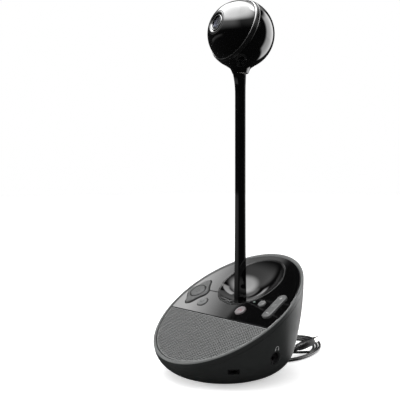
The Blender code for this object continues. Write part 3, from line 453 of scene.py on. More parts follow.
def bar(p, q, w, z0, z1, seg=6):
    """A flat stroke with round ends from p to q in a plane."""
    p, q = Vector(p), Vector(q)
    d = (q - p)
    a = atan2(d.y, d.x)
    pts = [(q.x + w / 2 * cos(a - pi / 2 + pi * i / seg), q.y + w / 2 * sin(a - pi / 2 + pi * i / seg)) for i in range(seg + 1)]
    pts += [(p.x + w / 2 * cos(a + pi / 2 + pi * i / seg), p.y + w / 2 * sin(a + pi / 2 + pi * i / seg)) for i in range(seg + 1)]
    return tri_caps([[(x, y, z0) for x, y in pts], [(x, y, z1) for x, y in pts]])


def plate_of(outline, z0, z1):
    return tri_caps([[(x, y, z0) for x, y in outline], [(x, y, z1) for x, y in outline]])


def tube(path, radius, seg=16):
    pts = [Vector(p) for p in path]
    tang = []
    for i in range(len(pts)):
        a, b = pts[max(i - 1, 0)], pts[min(i + 1, len(pts) - 1)]
        tang.append((b - a).normalized())
    side = tang[0].cross(Vector((0, 0, 1)))
    if side.length < 1e-6:
        side = Vector((1, 0, 0))
    side.normalize()
    loops = []
    for p, t in zip(pts, tang):
        side = (side - t * side.dot(t)).normalized()
        up = t.cross(side)
        loops.append([tuple(p + side * (radius * cos(2 * pi * i / seg)) + up * (radius * sin(2 * pi * i / seg))) for i in range(seg)])
    return rings(loops, caps=True)


def turn(vf, m):
    v, f = vf
    return [tuple(m @ Vector(p)) for p in v], f


# ---------------------------------------------------------------- bowl geometry
def bowl_radius(z):
    r = BOWL_R + BOWL_K1 * z / 100 + BOWL_K2 * (z / 100) ** 2
    if z < BOWL_ROUND:
        r -= BOWL_ROUND - sqrt(BOWL_ROUND ** 2 - (BOWL_ROUND - z) ** 2)
    return r


def face_z(y, n):
    return FACE_Z + y * TT + n / CT


def edge_radius(phi, n):
    lo, hi = 30.0, 120.0
    for _ in range(50):
        r = (lo + hi) / 2
        if r < bowl_radius(max(face_z(r * sin(phi), n), 0.0)):
            lo = r
        else:
            hi = r
    return (lo + hi) / 2


def edge_uv(phi, n, w):
    r = edge_radius(phi, n) - w
    x, y = r * cos(phi), r * sin(phi)
    return x, (y + n * ST) / CT


def phi_at_v(v, n, w):
    lo, hi = -pi / 2, pi / 2
    for _ in range(45):
        mid = (lo + hi) / 2
        if edge_uv(mid, n, w)[1] < v:
            lo = mid
        else:
            hi = mid
    return (lo + hi) / 2


def edge_arc(phi0, phi1, n, w, steps):
    return [edge_uv(phi0 + (phi1 - phi0) * i / steps, n, w) for i in range(steps + 1)]


# ================================================================ base
SEG = 144
top_n = TRIM_N - 0.3
ROWS = 30
edge = [edge_radius(2 * pi * i / SEG, top_n) for i in range(SEG)]
loops = []
for k in range(ROWS + 1):
    s = (k / ROWS) ** 1.5
    loop = []
    for i in range(SEG):
        a = 2 * pi * i / SEG
        zt = face_z(edge[i] * sin(a), top_n)
        z = FOOT_Z + (zt - FOOT_Z) * s
        r = edge[i] if k == ROWS else bowl_radius(z)
        if k == ROWS:
            r -= 0.0
        loop.append((r * cos(a), r * sin(a), z))
    loops.append(loop)
for s in (1.0, 0.7, 0.45, 0.25, 0.1, 0.0):
    loop = []
    for i in range(SEG):
        a = 2 * pi * i / SEG
        r = edge[i] - 2.6
        zt = face_z(r * sin(a), top_n)
        z = FOOT_Z + (zt - FOOT_Z) * s
        if s < 1.0:
            slope = (bowl_radius(z + 0.2) - bowl_radius(z - 0.2)) / 0.4
            r = bowl_radius(z) - min(2.5 * sqrt(1 + slope * slope), 4.5)
        loop.append((r * cos(a), r * sin(a), z))
    loops.append(loop)
bowl = build("bowl_shell", *rings(loops, closed=True), smooth=40)
LOCK_DIP = atan2(bowl_radius(LOCK_Z + 3) - bowl_radius(LOCK_Z - 3), 6.0)
LOCK_FRAME = Matrix.Rotation(radians(LOCK_PHI), 4, "Z") @ Matrix.Translation((bowl_radius(LOCK_Z), 0, LOCK_Z)) @ Matrix.Rotation(pi / 2 + LOCK_DIP, 4, "Y")


def soft_box(hx, hy, c, steps=5):
    pts = []
    for sx, sy, a0 in ((1, 1, 0), (-1, 1, 90), (-1, -1, 180), (1, -1, 270)):
        for k in range(steps + 1):
            a = radians(a0 + 90 * k / steps)
            pts.append((sx * (hx - c) + c * cos(a), sy * (hy - c) + c * sin(a)))
    return pts


def radial(vf, phi, y, z):
    """A shape about local z, laid along the outward direction phi at height z."""
    m = Matrix.Rotation(radians(phi), 4, "Z") @ Matrix.Translation((0, y, z)) @ Matrix.Rotation(pi / 2, 4, "Y")
    return turn(vf, m)


posts = []
for deg in (45, 135, 225, 315):
    m = Matrix.Rotation(radians(deg), 4, "Z")
    posts.append(build("post_tool", *turn(plate_of(circle(36.0, 0, 3.2, 24), 4.8, 14.0), m)))
    side = [(36.0, 6.8), (59.0, 6.8), (65.2, 13.0), (36.0, 13.0)]
    rv = [(x, y, z) for y in (-1.0, 1.0) for x, z in side]
    rf = [[0, 1, 2, 3], [4, 5, 6, 7]] + [[i, (i + 1) % 4, (i + 1) % 4 + 4, i + 4] for i in range(4)]
    posts.append(build("rib_tool", *turn((rv, rf), m)))
cut(bowl, *posts, smooth=40, op="UNION")
lock_at = bowl_radius(LOCK_Z)
jack_at = sqrt(bowl_radius(JACK_Z) ** 2 - JACK_Y ** 2)
cut(bowl,
    build("t1", *radial(lathe([(0, 60), (6.0, 60), (6.0, jack_at - 1.4), (6.25, jack_at - 0.7), (7.2, jack_at + 0.35), (7.2, 82), (0, 82)], 48), 0, JACK_Y, JACK_Z)),
    build("t2", *radial(lathe([(0, 55), (4.1, 55), (4.1, bowl_radius(DC_Z) - 0.7), (4.7, bowl_radius(DC_Z) + 0.2), (4.7, 82), (0, 82)], 40), DC_PHI, 0, DC_Z)),
    build("t3", *radial(lathe([(0, 55), (3.6, 55), (3.6, 80), (0, 80)], 40), 90, 0, CABLE_Z)),
    build("t4", *radial(stack(lambda g: capsule(0, 0, 1.6 + g, 3.6 + g, 12), [(0, 60), (0, lock_at - 0.6), (0.5, lock_at + 0.1), (0.5, 80)]), LOCK_PHI, 0, LOCK_Z)),
    *[build("t5", *turn(plate_of(circle(36.0, 0, 1.75, 16), 4.0, 12.0), Matrix.Rotation(radians(d), 4, "Z"))) for d in (45, 135, 225, 315)],
    build("t6", *plate_of(soft_box(3.3, 5.7, 0.8), -0.8, 8), LOCK_FRAME),
    smooth=40)
wear(bowl, "base_housing")
# a thin near-black plate on the recess floor: painted shade that makes the lock recess look darker than the housing
lock_shade_plate = build("lock_recess_painted_shade", *plate_of(soft_box(3.2, 5.6, 0.75), -0.86, -0.62), LOCK_FRAME, smooth=30, mats=[MAT["inner_black"]])
cut(lock_shade_plate, build("t7", *radial(plate_of(capsule(0, 0, 1.6, 3.6, 12), 55, 80), LOCK_PHI, 0, LOCK_Z)), smooth=30)
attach(lock_shade_plate, "base")

# ---- rim band: a dark outer wall and a rounded crown whose lighter grey is a painted highlight along its top
section = [(0.06, TRIM_N), (0.06, -3.4), (0.06, -1.75)]
section += [(1.53 - 1.47 * cos(pi * k / 12), -1.5 + 1.5 * sin(pi * k / 12)) for k in range(13)]
section += [(TRIM_W, -3.0), (TRIM_W, TRIM_N)]
RIM_SEG = 192
v, f = rings([[(*edge_uv(2 * pi * i / RIM_SEG, n, w), n) for i in range(RIM_SEG)] for w, n in section], closed=True)
# crown faces take the lighter grey (a painted highlight), the wall faces take the shell's dark satin
crown_highlight_index = []
for k in range(len(section)):
    crown_highlight_index += [1 if (k < 4 or k == len(section) - 1) else 0] * RIM_SEG
rim = build("rim_band_painted_highlight", v, f, FACE, smooth=45, mats=[MAT["rim_grey"], MAT["shell_satin"]], face_mats=crown_highlight_index)
wear(rim, "rim_trim")


# ---- perforated grille: every hole is real
def grille_outline(n, v_top, w=PANEL_W + 0.25, steps=110):
    a = phi_at_v(v_top, n, w)
    return edge_arc(a, -pi - a, n, w, steps)


def inside(p, poly):
    x, y = p
    hit = False
    j = len(poly) - 1
    for i in range(len(poly)):
        xi, yi = poly[i]
        xj, yj = poly[j]
        if (yi > y) != (yj > y) and x < (xj - xi) * (y - yi) / (yj - yi) + xi:
            hit = not hit
        j = i
    return hit


PITCH, HOLE = 2.2, 0.80
outline = grille_outline(-1.2, GRILLE_V - 0.55)
inner_edge = grille_outline(-1.2, GRILLE_V - 1.65, PANEL_W + 1.4)
pts = [Vector(p) for p in outline]
edges = [(i, (i + 1) % len(pts)) for i in range(len(pts))]
holes = {}
row = 0
vv = GRILLE_V - 0.3
while vv > -90.0:
    k = -60
    while k <= 60:
        uu = (k + 0.5 * (row % 2)) * PITCH
        if inside((uu, vv), inner_edge):
            holes[(row, k)] = (uu, vv)
            base = len(pts)
            for i in range(8):
                a = pi / 8 + 2 * pi * i / 8
                pts.append(Vector((uu + HOLE * cos(a), vv + HOLE * sin(a))))
            edges += [(base + i, base + (i + 1) % 8) for i in range(8)]
        k += 1
    row += 1
    vv -= PITCH * sqrt(3) / 2
co, _, fc, _, _, _ = delaunay_2d_cdt(pts, edges, [], 1, 1e-6)
keep = []
for tri in fc:
    cx = sum(co[i].x for i in tri) / 3
    cy = sum(co[i].y for i in tri) / 3
    r0 = (GRILLE_V - 0.3 - cy) / (PITCH * sqrt(3) / 2)
    solid = True
    for rr in (int(r0), int(r0) + 1):
        kk = cx / PITCH - 0.5 * (rr % 2)
        for k in (int(kk) - 1, int(kk), int(kk) + 1):
            h = holes.get((rr, k))
            if h and (h[0] - cx) ** 2 + (h[1] - cy) ** 2 < (HOLE * 0.93) ** 2:
                solid = False
    if solid and inside((cx, cy), outline):
        keep.append(list(tri))
grille = build("perforated_grille", [(p.x, p.y, -1.2) for p in co], keep, FACE, join=False, smooth=30)
up = FACE.to_3x3() @ Vector((0, 0, 1))
if sum((p.normal.dot(up) for p in grille.data.polygons)) < 0:
    grille.data.flip_normals()
sol = grille.modifiers.new("sheet", "SOLIDIFY")
sol.thickness = 1.1 * MM
sol.offset = -1.0
bpy.context.view_layer.update()
bake(grille, 30)
wear(grille, "speaker_grille")

HOLE_R = DISH_R + 1.3


def panel_outline(g):
    """The control panel's outline, drawn in by g."""
    n = PANEL_TOP
    v0, v1 = GRILLE_V + 0.2 + g, SEAM_V - 0.15 - g
    w = PANEL_W + g
    a0, a1 = phi_at_v(v0, n, w), phi_at_v(v1, n, w)
    right = edge_arc(a0, a1, n, w, 24)
    left = edge_arc(pi - a1, pi - a0, n, w, 24)
    hr = HOLE_R + g
    c = degrees(asin((v1 - DISH_V) / hr))
    return right + circle(0, DISH_V, hr, 60, c, -180 - c, ends=True) + left


def deck_outline(g):
    n = PANEL_TOP
    v0, w = SEAM_V + 0.15 + g, PANEL_W + g
    a0 = phi_at_v(v0, n, w)
    outer = edge_arc(a0, pi - a0, n, w, 110)
    hr = HOLE_R + g
    c = degrees(asin((v0 - DISH_V) / hr))
    return outer + circle(0, DISH_V, hr, 110, 180 - c, c, ends=True)


def pad_outline(grow=0.0, seg=112):
    pts = []
    for i in range(seg):
        a = 2 * pi * i / seg
        lobe = 0.5 + 0.5 * cos(4 * a)
        r = 12.2 + lobe ** 1.4 * 2.6
        r = r * (1.0 + 0.33 * sin(a) ** 2 * (0.4 + 0.6 * lobe)) + grow
        pts.append((PAD_U + r * cos(a), PAD_V + r * sin(a)))
    return pts


EDGE = [(0.45, PANEL_TOP), (0.22, PANEL_TOP - 0.06), (0.06, PANEL_TOP - 0.22), (0.0, PANEL_TOP - 0.45), (0.0, PANEL_BOT)]


def well(outline, gap):
    """A cutter for a key's opening, with a small flare at the panel's surface."""
    return stack(outline, [(gap, -6), (gap, PANEL_TOP - 0.45), (gap + 0.1, PANEL_TOP - 0.18), (gap + 0.4, PANEL_TOP + 0.05), (gap + 0.4, 4)])


def key_wells(count=6):
    return [build("w", *well(f, g), FACE) for f, g in (
        (lambda g: pad_outline(g), 1.0),
        (lambda g: capsule(ROCKER_U, ROCKER_V, ROCKER_HU + g, ROCKER_HV + g), 0.45),
        (lambda g: circle(ANSWER[0], ANSWER[1], ANSWER[2] + g, 64), 0.6),
        (lambda g: circle(END[0], END[1], END[2] + g, 64), 0.5),
        (lambda g: circle(MUTE[0], MUTE[1], MUTE[2] + g, 56), 0.45),
        (lambda g: circle(LED[0], LED[1], LED[2] + g, 32), 0.3))[:count]]


panel = build("control_panel_gloss", *stack(panel_outline, EDGE), FACE, smooth=8)
cut(panel, *key_wells(), smooth=8)
wear(panel, "control_panel")
deck = build("rear_deck_gloss", *stack(deck_outline, EDGE), FACE, smooth=8)
cut(deck, *key_wells(2), smooth=8)
wear(deck, "rear_deck")

# ---- the dish
lip = PANEL_TOP
sc = lip + sqrt(DISH_SPHERE ** 2 - DISH_R ** 2)
out_r = DISH_SPHERE + DISH_WALL


def on_sphere(r, rad):
    return sc - sqrt(rad * rad - r * r)


prof = [(0.0, on_sphere(0, DISH_SPHERE))]
prof += [(DISH_R * k / 26, on_sphere(DISH_R * k / 26, DISH_SPHERE)) for k in range(1, 26)]
crest = [(DISH_R * 25.4 / 26, on_sphere(DISH_R * 25.4 / 26, DISH_SPHERE)), (DISH_R, lip), (DISH_R + 1.0, lip), (DISH_R + 1.0, -2.6)]
prof += rounded(crest, [0, 0.35, 0.35, 0], 4, closed=False)
edge_r = sqrt(out_r ** 2 - (sc + 3.4) ** 2)
prof += [(edge_r, -3.4)]
prof += [(edge_r * (1 - k / 12), on_sphere(edge_r * (1 - k / 12), out_r)) for k in range(1, 12)] + [(0.0, on_sphere(0, out_r))]
dish = build("stalk_dish", *lathe(prof, 128), FACE @ Matrix.Translation((0, DISH_V, 0)), smooth=32)


def soft_rect(hx, hy, c, steps=5):
    pts = []
    for sx, sy, a0 in ((1, 1, 0), (-1, 1, 90), (-1, -1, 180), (1, -1, 270)):
        for k in range(steps + 1):
            a = radians(a0 + 90 * k / steps)
            pts.append((sx * (hx - c) + c * cos(a), sy * (hy - c) + c * sin(a)))
    return pts


slot_cut = build("t", *plate_of([(x, y + STALK_Y) for x, y in soft_rect(4.35, 6.3, 0.8)], 50, 80))
cut(dish, slot_cut, smooth=32)
dish.data.materials.clear()
dish.data.materials.append(DISH_BLACK)
wear(dish, "cradle_dish")

# ---- keys
def icon(name, parts, mat, body, place):
    ob = build(name, *joined(*parts), place, smooth=20, mats=[mat])
    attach(ob, body)
    return ob


def round_key(name, cad, spec):
    u, vv, r = spec
    prof = [(0, 0.42), (r * 0.35, 0.40), (r * 0.6, 0.34), (r * 0.8, 0.24), (r - 0.55, 0.08), (r - 0.25, -0.08), (r - 0.06, -0.32), (r, -0.7),
            (r, -3.6), (r + 0.9, -3.6), (r + 0.9, -4.4), (2.2, -4.4), (2.2, -6.9), (0, -6.9)]
    ob = build(name, *lathe(prof, 72), FACE @ Matrix.Translation((u, vv, 0)), smooth=35)
    return wear(ob, cad)


round_key("answer_key_cap", "answer_button", ANSWER)
round_key("end_key_cap", "end_button", END)
round_key("mute_key_cap", "mute_button", MUTE)


def handset(u, v, s, rot, z0, z1):
    """A telephone handset: a curved grip with two ends."""
    arcs = [(cos(radians(a)) * 2.3 * s, sin(radians(a)) * 2.3 * s) for a in range(200, 345, 12)]
    parts = []
    m = Matrix.Translation((u, v, 0)) @ Matrix.Rotation(radians(rot), 4, "Z") @ Matrix.Translation((0, 1.4 * s, 0))
    for p, q in zip(arcs, arcs[1:]):
        parts.append(bar(p, q, 0.75 * s, z0, z1, 4))
    for a in (200, 340):
        c = (cos(radians(a)) * 2.3 * s, sin(radians(a)) * 2.3 * s)
        parts.append(bar((c[0], c[1] + 0.3 * s), (c[0], c[1] - 0.5 * s), 1.35 * s, z0, z1, 6))
    return [turn(p, m) for p in parts]


icon("answer_mark", handset(ANSWER[0], ANSWER[1], 0.95, 35, 0.25, 0.47), DARK_MARK, "answer_key", FACE)
icon("end_mark", handset(END[0], END[1], 0.8, 180, 0.25, 0.47), RED_MARK, "end_key", FACE)
mic = [bar((MUTE[0], MUTE[1] + 1.3), (MUTE[0], MUTE[1] + 0.2), 1.1, 0.2, 0.47, 6),
       bar((MUTE[0], MUTE[1] - 0.9), (MUTE[0], MUTE[1] - 1.6), 0.35, 0.2, 0.46, 4),
       bar((MUTE[0] - 0.8, MUTE[1] - 1.75), (MUTE[0] + 0.8, MUTE[1] - 1.75), 0.35, 0.2, 0.46, 4),
       bar((MUTE[0] - 1.7, MUTE[1] - 1.2), (MUTE[0] + 1.7, MUTE[1] + 1.5), 0.35, 0.2, 0.48, 4)]
icon("mute_mark", mic, DARK_MARK, "mute_key", FACE)

rocker = build("volume_rocker_cap", *stack(lambda g: capsule(ROCKER_U, ROCKER_V, ROCKER_HU - g, ROCKER_HV - g, 30),
                                           [(2.4, 0.5), (1.5, 0.47), (0.8, 0.36), (0.3, 0.14), (0.06, -0.2), (0.0, -0.6), (0.0, -4.2)]), FACE, smooth=35, mats=[ROCKER_GREY])
wear(rocker, "volume_rocker")
marks = [bar((ROCKER_U - 1.6, ROCKER_V + 11.2), (ROCKER_U + 1.6, ROCKER_V + 11.2), 0.6, 0.42, 0.56),
         bar((ROCKER_U, ROCKER_V + 9.6), (ROCKER_U, ROCKER_V + 12.8), 0.6, 0.42, 0.56),
         bar((ROCKER_U - 1.6, ROCKER_V - 11.4), (ROCKER_U + 1.6, ROCKER_V - 11.4), 0.7, 0.42, 0.56)]
icon("volume_marks", marks, LIGHT_MARK, "rocker", FACE)
ribs = [bar((ROCKER_U - 2.4, ROCKER_V + d), (ROCKER_U + 2.4, ROCKER_V + d), 0.35, 0.42, 0.6, 4) for d in (-1.6, 0.0, 1.6)]
icon("rocker_ribs", ribs, GREY_MARK, "rocker", FACE)

pad_cap = build("direction_pad", *stack(lambda g: pad_outline(-g), [(2.6, 0.62), (1.6, 0.56), (0.9, 0.40), (0.35, 0.12), (0.08, -0.25), (0.0, -0.7), (0.0, -3.8)]), FACE, smooth=35)
well_tool = build("t", *lathe([(0, -7.1), (9.7, -7.1), (9.7, 0.15), (10.1, 0.7), (10.1, 6), (0, 6)], 72), FACE @ Matrix.Translation((PAD_U, PAD_V, 0)))
cut(pad_cap, well_tool, smooth=35)
pad_cap.data.materials.clear()
pad_cap.data.materials.append(PAD_GREY)
wear(pad_cap, "dpad_cap")
disc = [(0, 0.78), (3.0, 0.80), (6.0, 0.92), (7.4, 1.0), (8.2, 0.9), (8.7, 0.6), (8.9, 0.1), (8.9, -2.2), (0, -2.2)]
centre = build("pad_centre_cap", *lathe(disc, 72), FACE @ Matrix.Translation((PAD_U, PAD_V, 0)), smooth=35, mats=[PAD_GREY])
wear(centre, "dpad_centre_button")
arrows = []
for k, d in enumerate((13.2, 12.0, 13.2, 12.0)):
    m = Matrix.Translation((PAD_U, PAD_V, 0)) @ Matrix.Rotation(radians(90 * k + 90), 4, "Z") @ Matrix.Translation((d + (1.6 if k % 2 == 0 else 0), 0, 0))
    arrows.append(turn(plate_of([(-0.5, -1.5), (0.9, 0), (-0.5, 1.5)], 0.40, 0.64), m))
icon("pad_arrows", arrows, DARK_MARK, "pad", FACE)
ringmark = [turn(bar((2.4 * cos(radians(a)), 2.4 * sin(radians(a))), (2.4 * cos(radians(a + 20)), 2.4 * sin(radians(a + 20))), 0.4, 0.72, 0.87, 4),
                 Matrix.Translation((PAD_U, PAD_V, 0))) for a in range(0, 360, 20)]
icon("pad_centre_mark", ringmark, DARK_MARK, "pad_centre", FACE)
lamp = build("lamp_lens", *lathe([(0, -7.5), (1.0, -7.5), (1.0, -1.1), (0.85, -0.92), (0.45, -0.8), (0, -0.76)], 32), FACE @ Matrix.Translation((LED[0], LED[1], 0)), smooth=40)
wear(lamp, "led_light_pipe")

# ---- sockets in the wall
jack = [(0, 57.5), (1.8, 57.5), (1.8, 68.6), (2.3, 69.2), (4.6, 69.5), (5.1, 70.6), (5.3, 70.75), (5.6, 70.6), (5.6, 58.5), (4.4, 58.5), (4.4, 54.5), (0, 54.5)]
wear(build("jack_socket", *radial(lathe(jack, 64), 0, JACK_Y, JACK_Z), smooth=35), "headphone_jack")
dc = [(0, 54.0), (3.7, 54.0), (3.7, 68.9), (3.5, 69.2), (3.0, 69.2), (2.7, 68.9), (2.7, 59.0), (0.8, 59.0), (0.8, 67.3), (0.6, 67.7), (0, 67.8)]
wear(build("power_socket", *radial(lathe(dc, 48), DC_PHI, 0, DC_Z), smooth=35), "dc_power_jack")


def wall_mark(name, strokes, z_mid, width, mat):
    """A flat sign laid on the bowl's outside at azimuth 0: strokes are point pairs in (y, z)."""
    parts = []
    for (y0, z0), (y1, z1) in strokes:
        v, f = bar((y0, z0), (y1, z1), width, 0.0, 1.0, 6)
        out = []
        for y, z, h in v:
            r = bowl_radius(z)
            out.append((sqrt(r * r - y * y) - 0.15 + 0.21 * h, y, z))
        parts.append((out, f))
    ob = build(name, *joined(*parts), None, smooth=30, mats=[mat])
    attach(ob, "base")
    return ob


band = [(JACK_Y + 2.1 * cos(radians(a)), 36.9 + 2.3 * sin(radians(a))) for a in range(0, 181, 15)]
phones = list(zip(band, band[1:]))
wall_mark("headphone_band_mark", phones, 36.9, 0.5, LIGHT_MARK)
wall_mark("headphone_cups_mark", [((JACK_Y - 2.0, 36.8), (JACK_Y - 2.0, 35.4)), ((JACK_Y + 2.0, 36.8), (JACK_Y + 2.0, 35.4))], 36, 1.15, LIGHT_MARK)

# ---- underside
pad_prof = [(0, 0.25)]
for k in range(1, 9):
    r = 5.0 * k
    pad_prof += [(r - 1.7, 0.25), (r - 1.5, 0.0), (r + 1.5, 0.0), (r + 1.7, 0.25)]
pad_prof += [(43.2, 0.25), (43.4, 0.0), (45.0, 0.0), (45.4, 0.25), (45.5, 0.5), (45.5, 1.9), (40.0, 1.9), (40.0, 0.8), (0, 0.8)]
wear(build("foot_pad_tread", *lathe(pad_prof, 120), None, smooth=30), "rubber_foot_pad")

# ---- strain relief with ribs
prof = [(1.75, 54.6), (4.6, 54.6), (4.6, 56.0), (3.2, 56.0), (3.2, 66.6)]
z = 66.6
while z < 77.0:
    r = 3.2 - 0.9 * (z - 66.6) / 12.4
    prof += [(r, z), (r + 0.05, z + 0.15), (r, z + 1.0), (r - 0.5, z + 1.15), (r - 0.5, z + 1.65)]
    z += 1.8
prof += [(2.35, 78.2), (2.2, 78.9), (1.75, 79.0)]
relief_m = Matrix.Rotation(pi / 2, 4, "Z") @ Matrix.Translation((0, 0, CABLE_Z)) @ Matrix.Rotation(pi / 2, 4, "Y")
wear(build("ribbed_relief", *turn(lathe(prof, 48), relief_m), smooth=30), "cable_strain_relief")

# ---- the coiled cable and its plug
COIL_C, ALONG, ACROSS = Vector((-18.0, 118.0, 0.0)), Vector((-0.4512, 0.8924, 0.0)), Vector((0.8924, 0.4512, 0.0))


def coil(turns, z=1.6):
    th = radians(112.0) - 2 * pi * turns
    t = min(max(turns, 0.0), 2.9)
    a, p, c = 46.5 + 9.2 * t * 0.79, 28.0 + 3.55 * t * 0.79, -5.4 + 2.4 * t * 0.79
    q = COIL_C + ALONG * (c + a * cos(th)) + ACROSS * (p * sin(th))
    return Vector((q.x, q.y - 0.5, z))


def local(a, p, z):
    q = COIL_C + ALONG * a + ACROSS * p
    return Vector((q.x, q.y, z))


def smooth_path(points, per=5):
    pts = [points[0] * 2 - points[1]] + points + [points[-1] * 2 - points[-2]]
    out = []
    for i in range(1, len(pts) - 2):
        p0, p1, p2, p3 = pts[i - 1:i + 3]
        for k in range(per):
            t = k / per
            out.append(0.5 * ((2 * p1) + (p2 - p0) * t + (2 * p0 - 5 * p1 + 4 * p2 - p3) * t * t + (3 * p1 - p0 - 3 * p2 + p3) * t ** 3))
    out.append(pts[-2])
    return out


PLUG_A = Vector((11.5, 92.0, 8.2))
PLUG_D = (Vector((7.3, 138.6, 14.0)) - PLUG_A).normalized()
TURNS = 2.62
lead_in = [Vector((0, 52.0, CABLE_Z)), Vector((0, 70.0, CABLE_Z)), Vector((0, 81.0, CABLE_Z - 0.6)), Vector((1.5, 89.0, 9.5)), Vector((4.5, 96.0, 4.4))]
loops_mid = [coil(k / 96) for k in range(4, int(TURNS * 24) * 4 + 1)]
lead_out = [local(-45.0, -21.5, 5.3), local(-49.5, -13.0, 6.6), local(-49.5, -3.0, 7.4), local(-45.5, 6.0, 7.8), PLUG_A + PLUG_D * 2.0]
first = [coil(1 / 24)]
tail = [coil(int(TURNS * 24) / 24)]
path = smooth_path(lead_in + first, 12)[:-1] + loops_mid[:-1] + smooth_path(tail + lead_out, 12)
wear(build("coiled_cable", *tube(path, CABLE_R, 18), smooth=50), "usb_cable")

x_axis = (Vector((0, 0, 1)).cross(PLUG_D)).normalized()
x_axis = (x_axis * cos(radians(-18)) + PLUG_D.cross(x_axis) * sin(radians(-18))).normalized()
y_axis = PLUG_D.cross(x_axis)
PLUG = Matrix.Translation(PLUG_A) @ Matrix((x_axis, y_axis, PLUG_D)).transposed().to_4x4()
stations = [(2.4, 2.3, 2.1), (3.6, 2.4, 2.2), (3.7, 2.05, 1.9), (4.3, 2.05, 1.9), (4.4, 2.5, 2.3), (5.4, 2.6, 2.4), (5.5, 2.2, 2.05), (6.1, 2.2, 2.05),
            (6.2, 2.7, 2.5), (7.4, 2.8, 2.55), (7.5, 2.4, 2.2), (8.1, 2.4, 2.2), (8.2, 2.9, 2.6), (10.5, 4.4, 3.1), (13.0, 6.3, 3.9), (16.0, 7.0, 4.1),
            (20.0, 7.4, 4.2), (26.0, 7.7, 4.2), (31.0, 7.8, 4.2), (32.6, 7.7, 4.1), (33.3, 7.4, 3.8), (33.5, 7.0, 3.4)]
loops = []
for z, hx, hy in stations:
    loop = []
    for i in range(48):
        a = 2 * pi * (i + 0.5) / 48
        ex = 0.62 if z > 9 else 0.95
        loop.append((hx * (abs(cos(a)) ** ex) * (1 if cos(a) > 0 else -1), hy * (abs(sin(a)) ** ex) * (1 if sin(a) > 0 else -1), z))
    loops.append(loop)
wear(build("plug_overmould", *rings(loops, caps=True), PLUG, smooth=35), "usb_plug_body")
outer_s, inner_s = soft_rect(6.0, 2.25, 0.5), soft_rect(5.6, 1.9, 0.3)
v, f = rings([[(x, y, 33.8) for x, y in outer_s], [(x, y, 45.8) for x, y in outer_s], [(x * 0.985, y * 0.96, 46.0) for x, y in outer_s],
              [(x, y, 46.0) for x, y in inner_s], [(x, y, 36.0) for x, y in inner_s]], caps=True)
shell = build("plug_shell_plated", v, f, PLUG, smooth=30)
windows = [build("t", *turn(plate_of(soft_rect(1.25, 1.25, 0.2), -4, 4), PLUG @ Matrix.Translation((dx, 0, 40.6)) @ Matrix.Rotation(pi / 2, 4, "X"))) for dx in (-2.6, 2.6)]
cut(shell, *windows, smooth=30)
wear(shell, "usb_plug_shell")
tongue = build("plug_tongue", *tri_caps([[(x, y - 0.75, z) for x, y in soft_rect(5.4, 0.9, 0.2)] for z in (36.2, 45.2)]), PLUG, smooth=30, mats=[MAT["nylon_white"]])
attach(tongue, "base")
contacts = [turn(plate_of(soft_rect(0.5, 4.0, 0.1), 0, 0.12), PLUG @ Matrix.Translation((dx, 0.16, 40.8)) @ Matrix.Rotation(-pi / 2, 4, "X")) for dx in (-3.5, -1.0, 1.0, 3.5)]
gold = build("plug_contacts", *joined(*contacts), None, smooth=30, mats=[CONTACT_GOLD])
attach(gold, "base")

# ================================================================ stalk
def stalk_section(z, inset=0.0):
    k = 1.0 + 0.17 * ((STALK_WAIST - min(max(z, 75.0), STALK_WAIST)) / (STALK_WAIST - 75.0)) ** 2
    t = 0.0 if inset else max(0.0, (z - STALK_SPREAD) / (STALK_HI - STALK_SPREAD)) ** 2.5
    a, front, rear = STALK_A * k + 0.4 * t - inset, STALK_B * k + 3.0 * t - inset, STALK_B * k + 0.5 * t - inset
    ch = 0.6 if inset else STALK_CH * k
    return [(x, y + (rear - front) / 2 + STALK_Y, z) for x, y in soft_rect(a, (front + rear) / 2, ch, 5)]


levels = [STALK_LO + (75.0 - STALK_LO) * k / 3 for k in range(3)] + [75 + (STALK_SPREAD - 75) * k / 20 for k in range(20)]
levels += [STALK_SPREAD + (STALK_HI - 0.25 - STALK_SPREAD) * k / 14 for k in range(15)]
outer = [stalk_section(z) for z in levels]
cap = stalk_section(STALK_HI)
mid = Vector((0, STALK_Y, 0))
outer.append([(x * 0.965, STALK_Y + (y - STALK_Y) * 0.975, z) for x, y, z in cap])
inner = [stalk_section(z, STALK_WALL) for z in reversed([STALK_LO, 75, 110, 150, 190, 240, 285, 300])]
inner = [[(x, y, STALK_HI) for x, y, z in stalk_section(STALK_HI, STALK_WALL)]] + inner
wear(build("stalk_column", *rings(outer + inner, closed=True), smooth=38), "stalk_tube")

# ================================================================ head
R_IN = BALL_R - CUP_WALL
EYE_R = R_IN - EYE_GAP
EYE_RI = EYE_R - EYE_WALL
SKIN = 128


def arc(rad, a0, a1, steps):
    return [(rad * sin(radians(a0 + (a1 - a0) * i / steps)), rad * cos(radians(a0 + (a1 - a0) * i / steps))) for i in range(steps + 1)]


a_out, a_in = degrees(acos(TRIM_OFF / BALL_R)), degrees(acos(TRIM_OFF / R_IN))
outer = arc(BALL_R, 180, a_out + 0.35, 40)
outer[0] = (0.0, -BALL_R)
outer += [(BALL_R * sin(radians(a_out)) - 0.22, TRIM_OFF)]
inner = arc(R_IN, a_in, 180, 24)
inner[-1] = (0.0, -R_IN)
flare = [(5.7, -40.7), (8.2, -40.7), (8.45, -40.6), (8.6, -40.3), (8.95, -39.3), (9.4, -38.2), (9.9, -37.0), (10.5, -36.0), (11.4, -35.05), (12.6, -34.2),
         (14.2, -33.2), (16.0, -31.95), (17.6, -31.05), (17.4, -30.85), (15.8, -31.3), (10.9, -33.35), (5.7, -34.7)]
cup = build("cup_shell", *lathe(outer + inner, SKIN), OPEN, smooth=35)
bore = build("t", *plate_of(circle(0, 0, 5.7, 48), -42, -32), HEAD)
cut(cup, bore, smooth=35)
